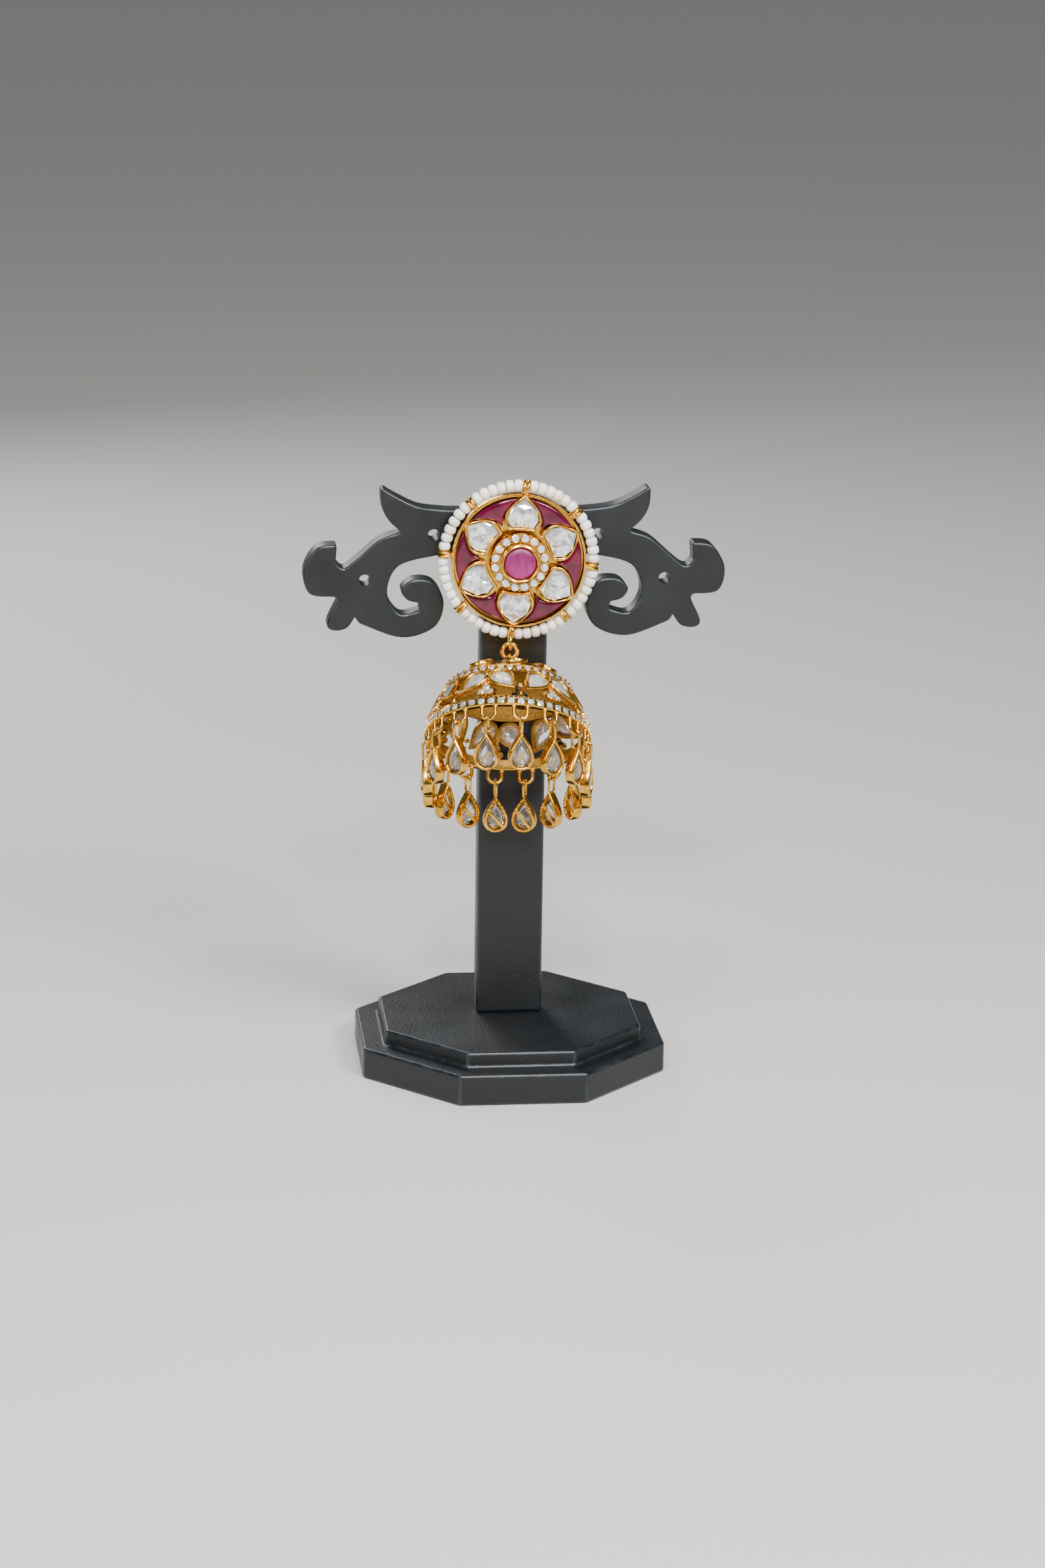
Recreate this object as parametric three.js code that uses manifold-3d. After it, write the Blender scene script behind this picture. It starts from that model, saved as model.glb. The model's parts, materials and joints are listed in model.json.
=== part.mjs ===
// Jhumka earring hanging on a display stand, in millimetres, +Z up.
// The origin is the middle of the stand's underside, and the stand's front faces -Y.
import * as THREE from 'three';
import { mergeVertices } from 'three/addons/utils/BufferGeometryUtils.js';
import Module from 'manifold-3d';

const wasm = await Module();
wasm.setup();

// Driving dimensions of the stand
const BASE_WIDTH = 55;
const BASE_HEIGHT = 5.7;
const STEP_WIDTH = 46.6;
const STEP_HEIGHT = 2.75;
const BASE_EDGE = 0.5;
const POST_WIDTH = 12;
const POST_DEPTH = 5.2;
const POST_FRONT = -1.04;
const BAR_FRONT = -2;
const BAR_DEPTH = 4.7;
const BAR_EDGE = 0.4;
const BAR_TOP = 102.5;
const BAR_UNDERSIDE = 94.25;
const PIN_HOLE_HEIGHT = 98.2;
const PIN_HOLE_RADIUS = 1.05;
const GAP = 0.3;
const STAND_OFF = 1;

// Driving dimensions of the stud
const STUD_X = 0.25;
const STUD_Z = 93.9;
const STUD_ROLL = -4.5;
const PLATE_RADIUS = 12;
const PLATE_THICKNESS = 1;
const RIM_INSIDE = 11.5;
const RIM_HEIGHT = 2.5;
const PETALS = 6;
const BEZEL_HEIGHT = 2.9;
const BEZEL_WALL = 0.45;
const COLLAR_RADIUS = 5.25;
const COLLAR_HEIGHT = 3.9;
const TOWER_RADIUS = 3.47;
const TOWER_HEIGHT = 5.2;
const CENTER_STONE_RADIUS = 2.7;
const CENTER_STONE_SEAT = 3.3;
const BEAD_RING_RADIUS = 13.4;
const BEAD_RADIUS = 1.1;
const BEAD_PITCH = 1.56;
const BEADS_IN_GROUP = 6;
const BEAD_GROUPS = 8;
const WRAP = { length: 2.5, width: 0.8, height: 2.7 };
const PIN_RADIUS = 0.45;
const PIN_LENGTH = 9.5;
const NUT_RADIUS = 2.3;
const NUT_LENGTH = 3.4;

// Driving dimensions of the links, the bell and its drops
const LINK_X = -1.25;
const LINK_Y = -5.9;
const LINK_Z = 77.7;
const LINK_RADIUS = 1.3;
const LINK_WIRE = 0.42;
const STUD_LOOP_WIRE = 0.36;
const BELL_LOOP_RADIUS = 1.15;
const BELL_LOOP_WIRE = 0.3;
const WIRE_GAP = 0.08;
const BELL_TILT = 38.5;
const BELL_TURN = 7;
const BELL_PHASE = 9.5;
const BELL_UNITS = 7;
const CROWN_RING_RADIUS = 7.4;
const CROWN_OPENING = { length: 5.2, width: 3.4 };
const GALLERY_BEZEL = { length: 6.75, width: 4.5, wall: 0.55, depth: 9.5, turn: 15.6, lean: 142 };
const GALLERY_WALL = 1;
const STEM_WIDTH = 0.8;
const CLUSTER_RADIUS = 1.15;
const CLUSTER_DEPTH = 12.6;
const LOOPS = 16;
const LOOP_RING_RADIUS = 14.2;
const LOOP_TOP = 15.2;
const LOOP_BOTTOM = 18.15;
const LOOP_RADIUS = 1.2;
const LOOP_WIRE = 0.33;
const BAIL_WIRE = 0.24;
const BAIL_RADIUS = 0.72;
const BAIL_LENGTH = 3.3;
const DROP_LENGTH = 6.8;
const DROP_WIDTH = 4.5;
const DROP_DEPTH = 1.7;
const DROP_WALL = 0.55;
const DROP_BAR = { height: 0.8, thickness: 0.45, lean: -50 };
const STONE_GAP = 0.2;

const radians = THREE.MathUtils.degToRad;
const LINK_BOTTOM = LINK_Z - LINK_RADIUS;
const STUD_BACK = BAR_FRONT - STAND_OFF;

const blackPlastic = new THREE.MeshStandardMaterial({ color: '#15191c', roughness: 0.5, metalness: 0 });
const gold = new THREE.MeshStandardMaterial({ color: '#c8912f', roughness: 0.28, metalness: 1 });
const ruby = new THREE.MeshStandardMaterial({ color: '#8c0f50', roughness: 0.15, metalness: 0 });
const clearStone = new THREE.MeshStandardMaterial({ color: '#e6e6e2', roughness: 0.1, metalness: 0 });
const pearl = new THREE.MeshStandardMaterial({ color: '#efe9dd', roughness: 0.3, metalness: 0 });

// Turns a closed geometry into a solid that can be joined and cut
function solidOf(geometry) {
  const bare = new THREE.BufferGeometry();
  bare.setAttribute('position', geometry.getAttribute('position').clone());
  if (geometry.index) bare.setIndex(geometry.index.clone());
  const merged = mergeVertices(bare, 1e-5);
  const corners = merged.index.array;
  const kept = [];
  for (let i = 0; i < corners.length; i += 3) {
    const [a, b, c] = [corners[i], corners[i + 1], corners[i + 2]];
    if (a !== b && b !== c && c !== a) kept.push(a, b, c);
  }
  const places = new Float32Array(merged.getAttribute('position').array);
  const mesh = new wasm.Mesh({ numProp: 3, vertProperties: places, triVerts: new Uint32Array(kept) });
  mesh.merge();
  return new wasm.Manifold(mesh);
}

function geometryOf(solid) {
  const mesh = solid.getMesh();
  const geometry = new THREE.BufferGeometry();
  geometry.setAttribute('position', new THREE.BufferAttribute(mesh.vertProperties, 3));
  geometry.setIndex(new THREE.BufferAttribute(mesh.triVerts, 1));
  return geometry;
}

function join(geometries) {
  return geometries.map(solidOf).reduce((whole, piece) => whole.add(piece));
}

function namedMesh(name, geometry, material, parent) {
  const mesh = new THREE.Mesh(geometry, material);
  mesh.name = name;
  parent.add(mesh);
  return mesh;
}

// A turned shape about the Z axis from pairs of radius and height
function turned(profile, sides, start = 0) {
  const points = profile.map(([radius, height]) => new THREE.Vector2(radius, height));
  return new THREE.LatheGeometry(points, sides, start).rotateX(Math.PI / 2);
}

function prism(shape, depth, curveSegments = 4) {
  return new THREE.ExtrudeGeometry(shape, { depth, curveSegments, bevelEnabled: false });
}

function cylinder(radius, length, sides) {
  return new THREE.CylinderGeometry(radius, radius, length, sides).rotateX(Math.PI / 2);
}

// A drop shape, round at the bottom about the origin, with its tip on +Y
function dropShape(length, width) {
  const radius = width / 2;
  const tip = length - radius;
  const shape = new THREE.Shape();
  shape.moveTo(-radius, 0);
  shape.absarc(0, 0, radius, Math.PI, 2 * Math.PI, false);
  shape.bezierCurveTo(radius, tip * 0.32, radius * 0.45, tip * 0.68, 0, tip);
  shape.bezierCurveTo(-radius * 0.45, tip * 0.68, -radius, tip * 0.32, -radius, 0);
  return shape;
}

function dropRing(length, width, wall) {
  const shape = dropShape(length, width);
  shape.holes.push(dropShape(length - wall * 2.6, width - wall * 2));
  return shape;
}

const model = new THREE.Group();

// ---- Stand: octagonal foot in two steps, flat post and scrolled crossbar ----
{
  const corner = 1 / (2 * Math.cos(Math.PI / 8));
  const foot = BASE_WIDTH * corner;
  const step = STEP_WIDTH * corner;
  const top = BASE_HEIGHT + STEP_HEIGHT;
  const profile = [
    [0, 0],
    [foot - BASE_EDGE, 0],
    [foot, BASE_EDGE],
    [foot, BASE_HEIGHT - BASE_EDGE],
    [foot - BASE_EDGE, BASE_HEIGHT],
    [step, BASE_HEIGHT],
    [step, top - BASE_EDGE],
    [step - BASE_EDGE, top],
    [0, top],
  ];
  namedMesh('stand_base', turned(profile, 8, Math.PI / 8), blackPlastic, model);
}

{
  const low = BASE_HEIGHT + STEP_HEIGHT + GAP / 3;
  const high = BAR_UNDERSIDE - GAP;
  const post = new THREE.BoxGeometry(POST_WIDTH, POST_DEPTH, high - low);
  post.translate(0, POST_FRONT + POST_DEPTH / 2, (high + low) / 2);
  namedMesh('stand_post', post, blackPlastic, model);
}

// Right half of the crossbar's outline, from the middle of its top edge round to the middle
// of its underside. Each stretch is a smooth curve through its points, and stretches meet
// in the outline's corners. Points are x and height.
const barStretches = [
  { name: 'horn_top', steps: 6, through: [[12.4, BAR_TOP], [17.2, 103.1], [20.9, 104.8], [23.3, 106.2]] },
  { name: 'horn_side', steps: 5, through: [[24, 105.6], [23.8, 102.9], [22.6, 100.6], [20.8, 98.9]] },
  { name: 'arm', steps: 8, through: [[21.2, 98.3], [24.4, 97.1], [28.2, 93.8], [30.6, 92.1], [31.9, 93.2]] },
  { name: 'lobe', steps: 10, through: [[32, 96.3], [35.4, 95.7], [37.8, 91.6], [36.6, 87.5], [32.4, 86.9]] },
  { name: 'heel', steps: 7, through: [[31.9, 85.6], [33.5, 82], [32.4, 80.8], [30, 81.2], [28.6, 83.1]] },
  {
    name: 'scroll',
    steps: 18,
    through: [
      [27.2, 81.8], [20.2, 79.4], [14.4, 81.2], [12.7, 85.6], [14.6, 89.4],
      [18.3, 89.9], [20.3, 88.1], [19.3, 86.3], [17.4, 85.7],
    ],
  },
  { name: 'inside', steps: 11, through: [[17.3, 84.3], [20.6, 83.8], [22.8, 87.6], [20.8, 92.4], [14.1, BAR_UNDERSIDE]] },
];
const barHoles = [[14.6, 98], [26.8, 89.9]];

{
  const half = barStretches.flatMap(({ through, steps }) => {
    const curve = new THREE.SplineCurve(through.map(([x, z]) => new THREE.Vector2(x, z)));
    return curve.getPoints(steps);
  });
  const otherHalf = half.map((point) => new THREE.Vector2(-point.x, point.y)).reverse();
  const bar = new THREE.ExtrudeGeometry(new THREE.Shape([...half, ...otherHalf]), {
    depth: BAR_DEPTH - 2 * BAR_EDGE,
    bevelThickness: BAR_EDGE,
    bevelSize: BAR_EDGE,
    bevelOffset: -BAR_EDGE,
    bevelSegments: 1,
  });
  bar.rotateX(Math.PI / 2);
  bar.translate(0, BAR_FRONT + BAR_DEPTH - BAR_EDGE, 0);
  const mirrored = barHoles.map(([x, z]) => [-x, z]);
  const drilled = [...barHoles, ...mirrored, [0, PIN_HOLE_HEIGHT]].reduce((solid, [x, z]) => {
    const drill = new THREE.CylinderGeometry(PIN_HOLE_RADIUS, PIN_HOLE_RADIUS, BAR_DEPTH * 2, 12);
    return solid.subtract(solidOf(drill.translate(x, BAR_FRONT + BAR_DEPTH / 2, z)));
  }, solidOf(bar));
  namedMesh('stand_crossbar', geometryOf(drilled), blackPlastic, model);
}

// ---- Stud: built face up about its own centre, then stood against the crossbar ----
const stud = new THREE.Group();
stud.position.set(STUD_X, STUD_BACK, STUD_Z);
stud.rotation.x = Math.PI / 2;
model.add(stud);

// A petal with its tip on +Y and a hollow inner end, made larger all round by grow
function petalShape(grow) {
  const tip = 11.3 + grow * 1.3;
  const side = 2.9 + grow;
  const inner = COLLAR_RADIUS + 0.6 - grow;
  const foot = 2.05 + grow * 0.8;
  const shape = new THREE.Shape();
  shape.moveTo(foot, inner);
  shape.bezierCurveTo(side * 1.1, inner + 1.6, side * 1.2, inner + 2.9, 0, tip);
  shape.bezierCurveTo(-side * 1.2, inner + 2.9, -side * 1.1, inner + 1.6, -foot, inner);
  shape.quadraticCurveTo(0, inner + 0.45, foot, inner);
  return shape;
}

function petalTurn(index) {
  return (index * 2 * Math.PI) / PETALS + radians(STUD_ROLL);
}

// The eight wire wraps sit one eighth of a turn apart, the fifth at the hanging loop
const loopAngle = Math.atan2(LINK_Z - STUD_Z, LINK_X - STUD_X);
const wrapAngles = Array.from({ length: BEAD_GROUPS }, (_, i) => loopAngle + (i * 2 * Math.PI) / BEAD_GROUPS);

{
  const pan = turned(
    [
      [0, 0], [PLATE_RADIUS, 0], [PLATE_RADIUS, RIM_HEIGHT], [RIM_INSIDE, RIM_HEIGHT],
      [RIM_INSIDE, PLATE_THICKNESS], [COLLAR_RADIUS, PLATE_THICKNESS], [COLLAR_RADIUS, COLLAR_HEIGHT - 0.6],
      [COLLAR_RADIUS - 0.5, COLLAR_HEIGHT], [TOWER_RADIUS, COLLAR_HEIGHT], [TOWER_RADIUS, TOWER_HEIGHT],
      [CENTER_STONE_RADIUS + 0.2, TOWER_HEIGHT], [CENTER_STONE_RADIUS + 0.2, CENTER_STONE_SEAT], [0, CENTER_STONE_SEAT],
    ],
    30,
  );
  const pieces = [pan];
  for (let i = 0; i < PETALS; i += 1) {
    const bezel = petalShape(BEZEL_WALL);
    bezel.holes.push(petalShape(0));
    const wall = prism(bezel, BEZEL_HEIGHT - PLATE_THICKNESS / 2, 4);
    pieces.push(wall.translate(0, 0, PLATE_THICKNESS / 2).rotateZ(petalTurn(i)));
  }
  for (const angle of wrapAngles) {
    const wrap = new THREE.BoxGeometry(WRAP.length, WRAP.width, WRAP.height);
    pieces.push(wrap.translate(PLATE_RADIUS + 1, 0, RIM_HEIGHT / 2 + 0.2).rotateZ(angle));
  }
  // The hanging loop stands across the rim, so its hole opens sideways
  const loop = new THREE.TorusGeometry(LINK_RADIUS, STUD_LOOP_WIRE, 6, 12).rotateY(Math.PI / 2);
  const loopBottom = LINK_Z + LINK_RADIUS - LINK_WIRE - WIRE_GAP - STUD_LOOP_WIRE;
  pieces.push(loop.translate(LINK_X - STUD_X, loopBottom + LINK_RADIUS - STUD_Z, STUD_BACK - LINK_Y));
  // The ear pin is soldered to the back of the plate and passes through the crossbar
  const pin = cylinder(PIN_RADIUS, PIN_LENGTH, 10);
  pieces.push(pin.translate(0, PIN_HOLE_HEIGHT - STUD_Z, PLATE_THICKNESS / 2 - PIN_LENGTH / 2));
  namedMesh('stud_setting', geometryOf(join(pieces)), gold, stud);
}

{
  const r = CENTER_STONE_RADIUS;
  const low = CENTER_STONE_SEAT + STONE_GAP;
  const dome = [[0, low], [r, low], [r, TOWER_HEIGHT - 0.3], [r * 0.8, TOWER_HEIGHT + 0.1], [0, TOWER_HEIGHT + 0.3]];
  namedMesh('ruby_center', turned(dome, 24), ruby, stud);
}

for (let i = 0; i < PETALS; i += 1) {
  const stone = prism(petalShape(-STONE_GAP), BEZEL_HEIGHT - PLATE_THICKNESS - STONE_GAP - 0.2, 4);
  const mesh = namedMesh(`petal_stone_${i + 1}`, stone, clearStone, stud);
  mesh.position.z = PLATE_THICKNESS + STONE_GAP;
  mesh.rotation.z = petalTurn(i);
}

// Ruby pieces fill the spaces between the petals, cut to leave a gap to both bezels
{
  const middle = Math.PI / 2 + Math.PI / PETALS;
  const half = Math.PI / PETALS - 0.02;
  const sector = new THREE.Shape();
  sector.absarc(0, 0, RIM_INSIDE - GAP, middle - half, middle + half, false);
  sector.absarc(0, 0, COLLAR_RADIUS + 1.6, middle + half, middle - half, true);
  const blank = solidOf(prism(sector, RIM_HEIGHT - PLATE_THICKNESS - STONE_GAP, 6));
  const cutter = () => prism(petalShape(BEZEL_WALL + GAP), 9, 5).translate(0, 0, -4);
  const cut = blank.subtract(solidOf(cutter())).subtract(solidOf(cutter().rotateZ((2 * Math.PI) / PETALS)));
  for (let i = 0; i < PETALS; i += 1) {
    const mesh = namedMesh(`ruby_segment_${i + 1}`, geometryOf(cut), ruby, stud);
    mesh.position.z = PLATE_THICKNESS + STONE_GAP;
    mesh.rotation.z = petalTurn(i);
  }
}

// Seed beads, joined along their thread between one wrap and the next
{
  const pitchAngle = BEAD_PITCH / BEAD_RING_RADIUS;
  const beads = [];
  for (let i = 0; i < BEADS_IN_GROUP; i += 1) {
    const bead = new THREE.SphereGeometry(BEAD_RADIUS, 6, 4).scale(1, (BEAD_PITCH / 2 + 0.03) / BEAD_RADIUS, 1);
    bead.translate(BEAD_RING_RADIUS, 0, RIM_HEIGHT / 2);
    beads.push(bead.rotateZ((i - (BEADS_IN_GROUP - 1) / 2) * pitchAngle));
  }
  const string = geometryOf(join(beads));
  wrapAngles.forEach((angle, i) => {
    const mesh = namedMesh(`bead_string_${i + 1}`, string, pearl, stud);
    mesh.rotation.z = angle + Math.PI / BEAD_GROUPS;
  });
}

{
  const inside = PIN_RADIUS + GAP;
  const back = BAR_FRONT + BAR_DEPTH + GAP;
  const ring = [
    [inside, 0], [NUT_RADIUS, 0], [NUT_RADIUS, NUT_LENGTH * 0.45],
    [NUT_RADIUS * 0.6, NUT_LENGTH], [inside, NUT_LENGTH], [inside, 0],
  ];
  const nut = turned(ring, 16).rotateX(-Math.PI / 2);
  namedMesh('ear_nut', nut.translate(STUD_X, back, PIN_HOLE_HEIGHT), gold, model);
}

// ---- Jump ring ----
{
  const ring = new THREE.TorusGeometry(LINK_RADIUS, LINK_WIRE, 8, 16).rotateX(Math.PI / 2);
  namedMesh('jump_ring', ring.translate(LINK_X, LINK_Y, LINK_Z), gold, model);
}

// ---- Bell: built upright about its hanging point, then leaned with its rim on the post ----
const bell = new THREE.Group();
bell.position.set(LINK_X, LINK_Y, LINK_BOTTOM);
bell.rotation.set(radians(-BELL_TILT), 0, radians(-BELL_TURN), 'ZYX');
model.add(bell);

// Outside of the bell's wall as pairs of radius and depth below the hanging point
const UPPER_BAND = { radius: 11.4, taper: 0.6, top: 6.25, bottom: 7.65 };
const LOWER_BAND = { radius: 14.7, taper: 0.3, top: 13.9, bottom: 15.7 };
const BAND_WALL = 1.1;
const GALLERY_SLOPE = Math.atan2(
  LOWER_BAND.radius - UPPER_BAND.radius,
  LOWER_BAND.top - UPPER_BAND.bottom,
);

// Places a piece of the gallery, drawn in the wall's plane about the origin, at a depth and an
// angle round the bell
function onGallery(geometry, depth, angle) {
  const outside = UPPER_BAND.radius + (depth - UPPER_BAND.bottom) * Math.tan(GALLERY_SLOPE);
  const radius = outside - BAND_WALL / 2;
  geometry.rotateX(Math.PI / 2 - GALLERY_SLOPE);
  geometry.translate(0, -radius, -depth);
  return geometry.rotateZ(angle);
}

function bellAngle(index, count) {
  return radians(BELL_PHASE) + (index * 2 * Math.PI) / count;
}

// The crown is one turned wall: its inside is listed first from the middle down to the band,
// then its outside back up to the cap
{
  const shoulder = UPPER_BAND.radius - UPPER_BAND.taper;
  const upperInside = UPPER_BAND.radius - BAND_WALL;
  const crown = turned(
    [
      [0, -2.6], [2.4, -2.8], [6.9, -4.6], [shoulder - BAND_WALL, -UPPER_BAND.top - 0.3],
      [upperInside, -UPPER_BAND.bottom], [UPPER_BAND.radius, -UPPER_BAND.bottom], [shoulder, -UPPER_BAND.top],
      [CROWN_RING_RADIUS, -3.9], [3.1, -2.25], [3.1, -1.8], [2.2, -1.4], [0, -1.3],
    ],
    24,
  );
  const lip = LOWER_BAND.radius - LOWER_BAND.taper;
  const rim = turned(
    [
      [lip, -LOWER_BAND.top], [lip - BAND_WALL, -LOWER_BAND.top], [LOWER_BAND.radius - BAND_WALL, -LOWER_BAND.bottom],
      [LOWER_BAND.radius, -LOWER_BAND.bottom], [lip, -LOWER_BAND.top],
    ],
    24,
  );
  let body = solidOf(crown);
  for (let i = 0; i < BELL_UNITS; i += 1) {
    const opening = prism(dropShape(CROWN_OPENING.length, CROWN_OPENING.width), 9, 2).translate(0, 0, -9);
    opening.translate(0, -CROWN_RING_RADIUS, 0);
    body = body.subtract(solidOf(opening.rotateZ(bellAngle(i, BELL_UNITS))));
  }
  const pieces = [rim];
  // Each unit is a pair of drop settings whose tips meet on a short stem above the lower band.
  // The round ends of neighbouring units meet over a strut that carries a cluster of stones.
  const { length, width, wall, depth: bezelDepth, turn, lean } = GALLERY_BEZEL;
  const stemTop = bezelDepth + 2.5;
  for (let i = 0; i < BELL_UNITS; i += 1) {
    const angle = bellAngle(i, BELL_UNITS);
    for (const side of [-1, 1]) {
      const bezel = prism(dropRing(length, width, wall), GALLERY_WALL, 2).translate(0, 0, -GALLERY_WALL / 2);
      pieces.push(onGallery(bezel.rotateZ(side * radians(lean)), bezelDepth, angle + side * radians(turn)));
    }
    const between = angle + Math.PI / BELL_UNITS;
    for (const [top, place] of [[stemTop, angle], [bezelDepth, between]]) {
      const height = (LOWER_BAND.top - top) / Math.cos(GALLERY_SLOPE) + STEM_WIDTH;
      const stem = new THREE.BoxGeometry(STEM_WIDTH, height, STEM_WIDTH);
      pieces.push(onGallery(stem, (LOWER_BAND.top + top) / 2, place));
    }
    pieces.push(onGallery(cylinder(CLUSTER_RADIUS, BAND_WALL, 9), CLUSTER_DEPTH, between));
  }
  for (let i = 0; i < LOOPS; i += 1) {
    const low = LOOP_BOTTOM - LOOP_RADIUS;
    const points = [];
    for (let k = 0; k <= 4; k += 1) {
      const turn = (k * Math.PI) / 4;
      points.push(new THREE.Vector3(LOOP_RADIUS * Math.cos(turn), 0, -low - LOOP_RADIUS * Math.sin(turn)));
    }
    points.unshift(new THREE.Vector3(LOOP_RADIUS, 0, -LOOP_TOP));
    points.push(new THREE.Vector3(-LOOP_RADIUS, 0, -LOOP_TOP));
    const section = new THREE.Shape().absarc(0, 0, LOOP_WIRE, 0, 2 * Math.PI, false);
    const route = new THREE.CatmullRomCurve3(points);
    const loop = new THREE.ExtrudeGeometry(section, { steps: 7, curveSegments: 2, extrudePath: route });
    pieces.push(loop.translate(0, -LOOP_RING_RADIUS, 0).rotateZ(bellAngle(i, LOOPS)));
  }
  // The bell's own loop stands fore and aft through the jump ring
  const loopTop = LINK_WIRE + WIRE_GAP + BELL_LOOP_WIRE;
  const loop = new THREE.TorusGeometry(BELL_LOOP_RADIUS, BELL_LOOP_WIRE, 6, 12).rotateY(Math.PI / 2);
  pieces.push(loop.translate(0, 0, loopTop - BELL_LOOP_RADIUS));
  body = pieces.map(solidOf).reduce((whole, piece) => whole.add(piece), body);
  namedMesh('bell_body', geometryOf(body), gold, bell);
}

// ---- Drops: each hangs plumb from the lowest point of its loop, facing outwards ----
const dropTop = LOOP_WIRE + WIRE_GAP + BAIL_WIRE;
const dropTip = dropTop - BAIL_LENGTH + 0.35;
const dropCenter = dropTip - (DROP_LENGTH - DROP_WIDTH / 2);

// The bail is a ring stretched into a long link, standing fore and aft
function bailGeometry() {
  const ring = new THREE.TorusGeometry(BAIL_RADIUS, BAIL_WIRE, 4, 8).rotateY(Math.PI / 2);
  const stretch = BAIL_LENGTH / 2 - BAIL_RADIUS;
  const place = ring.getAttribute('position');
  for (let i = 0; i < place.count; i += 1) {
    const height = place.getY(i);
    if (Math.abs(height) > 0.26) place.setY(i, height + Math.sign(height) * stretch);
  }
  return ring.rotateX(Math.PI / 2).translate(0, 0, dropTop - BAIL_LENGTH / 2);
}

function dropSettingGeometry() {
  const wall = prism(dropRing(DROP_LENGTH, DROP_WIDTH, DROP_WALL), DROP_DEPTH, 2);
  wall.rotateX(Math.PI / 2).translate(0, DROP_DEPTH / 2, dropCenter);
  const bar = new THREE.BoxGeometry(DROP_WIDTH - DROP_WALL, DROP_BAR.thickness, DROP_BAR.height);
  bar.rotateY(radians(DROP_BAR.lean));
  bar.translate(0, (DROP_DEPTH - DROP_BAR.thickness) / 2, dropCenter + 0.2);
  return geometryOf(join([bailGeometry(), wall, bar]));
}

function dropStoneGeometry() {
  const clear = DROP_WALL + STONE_GAP;
  const shape = dropShape(DROP_LENGTH - clear * 2.6, DROP_WIDTH - clear * 2);
  const stone = prism(shape, 0.9, 2);
  return stone.rotateX(Math.PI / 2).translate(0, 0.1, dropCenter);
}

{
  bell.updateMatrixWorld(true);
  const setting = dropSettingGeometry();
  const stone = dropStoneGeometry();
  const up = new THREE.Vector3(0, 0, 1);
  for (let i = 0; i < LOOPS; i += 1) {
    const angle = bellAngle(i, LOOPS);
    const outward = new THREE.Vector3(Math.sin(angle), -Math.cos(angle), 0).transformDirection(bell.matrixWorld);
    const center = new THREE.Vector3(
      LOOP_RING_RADIUS * Math.sin(angle),
      -LOOP_RING_RADIUS * Math.cos(angle),
      LOOP_RADIUS - LOOP_BOTTOM,
    ).applyMatrix4(bell.matrixWorld);
    const along = new THREE.Vector3().crossVectors(outward, up).normalize();
    const downhill = new THREE.Vector3().crossVectors(outward, along).normalize();
    if (downhill.z > 0) downhill.negate();
    const drop = new THREE.Group();
    drop.position.copy(center.addScaledVector(downhill, LOOP_RADIUS));
    drop.rotation.z = Math.atan2(outward.x, -outward.y);
    model.add(drop);
    namedMesh(`drop_${i + 1}`, setting, gold, drop);
    namedMesh(`drop_stone_${i + 1}`, stone, clearStone, drop);
  }
}

export default model;
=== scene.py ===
# Jhumka earring hanging on its black plastic display stand.
# Pieces are modelled in millimetres about their own middle, then given their place in metres.
import json
import math
import random

import bmesh
import bpy
from mathutils import Matrix, Vector
from mathutils.geometry import interpolate_bezier

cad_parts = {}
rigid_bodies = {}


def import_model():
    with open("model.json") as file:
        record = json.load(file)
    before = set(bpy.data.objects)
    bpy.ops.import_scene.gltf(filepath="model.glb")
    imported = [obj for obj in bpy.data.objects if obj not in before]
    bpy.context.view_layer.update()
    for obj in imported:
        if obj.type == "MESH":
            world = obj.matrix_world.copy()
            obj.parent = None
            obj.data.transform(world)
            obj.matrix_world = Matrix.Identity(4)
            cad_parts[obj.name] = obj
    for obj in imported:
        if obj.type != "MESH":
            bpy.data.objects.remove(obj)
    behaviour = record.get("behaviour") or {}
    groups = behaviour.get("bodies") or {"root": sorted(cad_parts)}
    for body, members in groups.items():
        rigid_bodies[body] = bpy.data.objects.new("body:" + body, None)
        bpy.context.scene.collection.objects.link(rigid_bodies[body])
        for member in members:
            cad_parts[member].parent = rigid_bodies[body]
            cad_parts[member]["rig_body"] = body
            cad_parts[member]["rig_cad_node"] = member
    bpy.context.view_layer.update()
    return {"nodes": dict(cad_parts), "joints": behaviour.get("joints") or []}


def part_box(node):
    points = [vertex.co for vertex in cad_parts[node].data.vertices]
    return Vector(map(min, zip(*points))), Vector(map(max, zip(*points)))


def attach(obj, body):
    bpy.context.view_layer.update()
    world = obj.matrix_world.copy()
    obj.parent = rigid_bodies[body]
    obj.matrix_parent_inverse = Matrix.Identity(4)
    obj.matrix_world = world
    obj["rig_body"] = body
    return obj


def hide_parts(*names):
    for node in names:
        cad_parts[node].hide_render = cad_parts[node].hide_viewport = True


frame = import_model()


# ---- Camera ----
# A short telephoto view, from a little left of the middle and from above the flower,
# so the tops of the foot and of the bell show.
CAMERA_PLACE = (-0.0702, -0.6431, 0.2273)
CAMERA_TURN = -6.41
CAMERA_PITCH = -15.19
CAMERA_ROLL = -0.85


def turn(degrees, axis):
    return Matrix.Rotation(math.radians(degrees), 4, axis)


def move(x, y, z):
    return Matrix.Translation((x, y, z))


bpy.ops.object.camera_add()
camera = bpy.context.object
camera.name = "camera"
camera.data.sensor_fit = "VERTICAL"
camera.data.sensor_height = 36
camera.data.lens = 85
camera.data.clip_start = 0.01
aim = turn(CAMERA_TURN, "Z") @ turn(CAMERA_PITCH, "X") @ turn(CAMERA_ROLL, "Y")
camera.matrix_world = move(*CAMERA_PLACE) @ aim @ turn(90, "X")
bpy.context.scene.camera = camera


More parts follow.
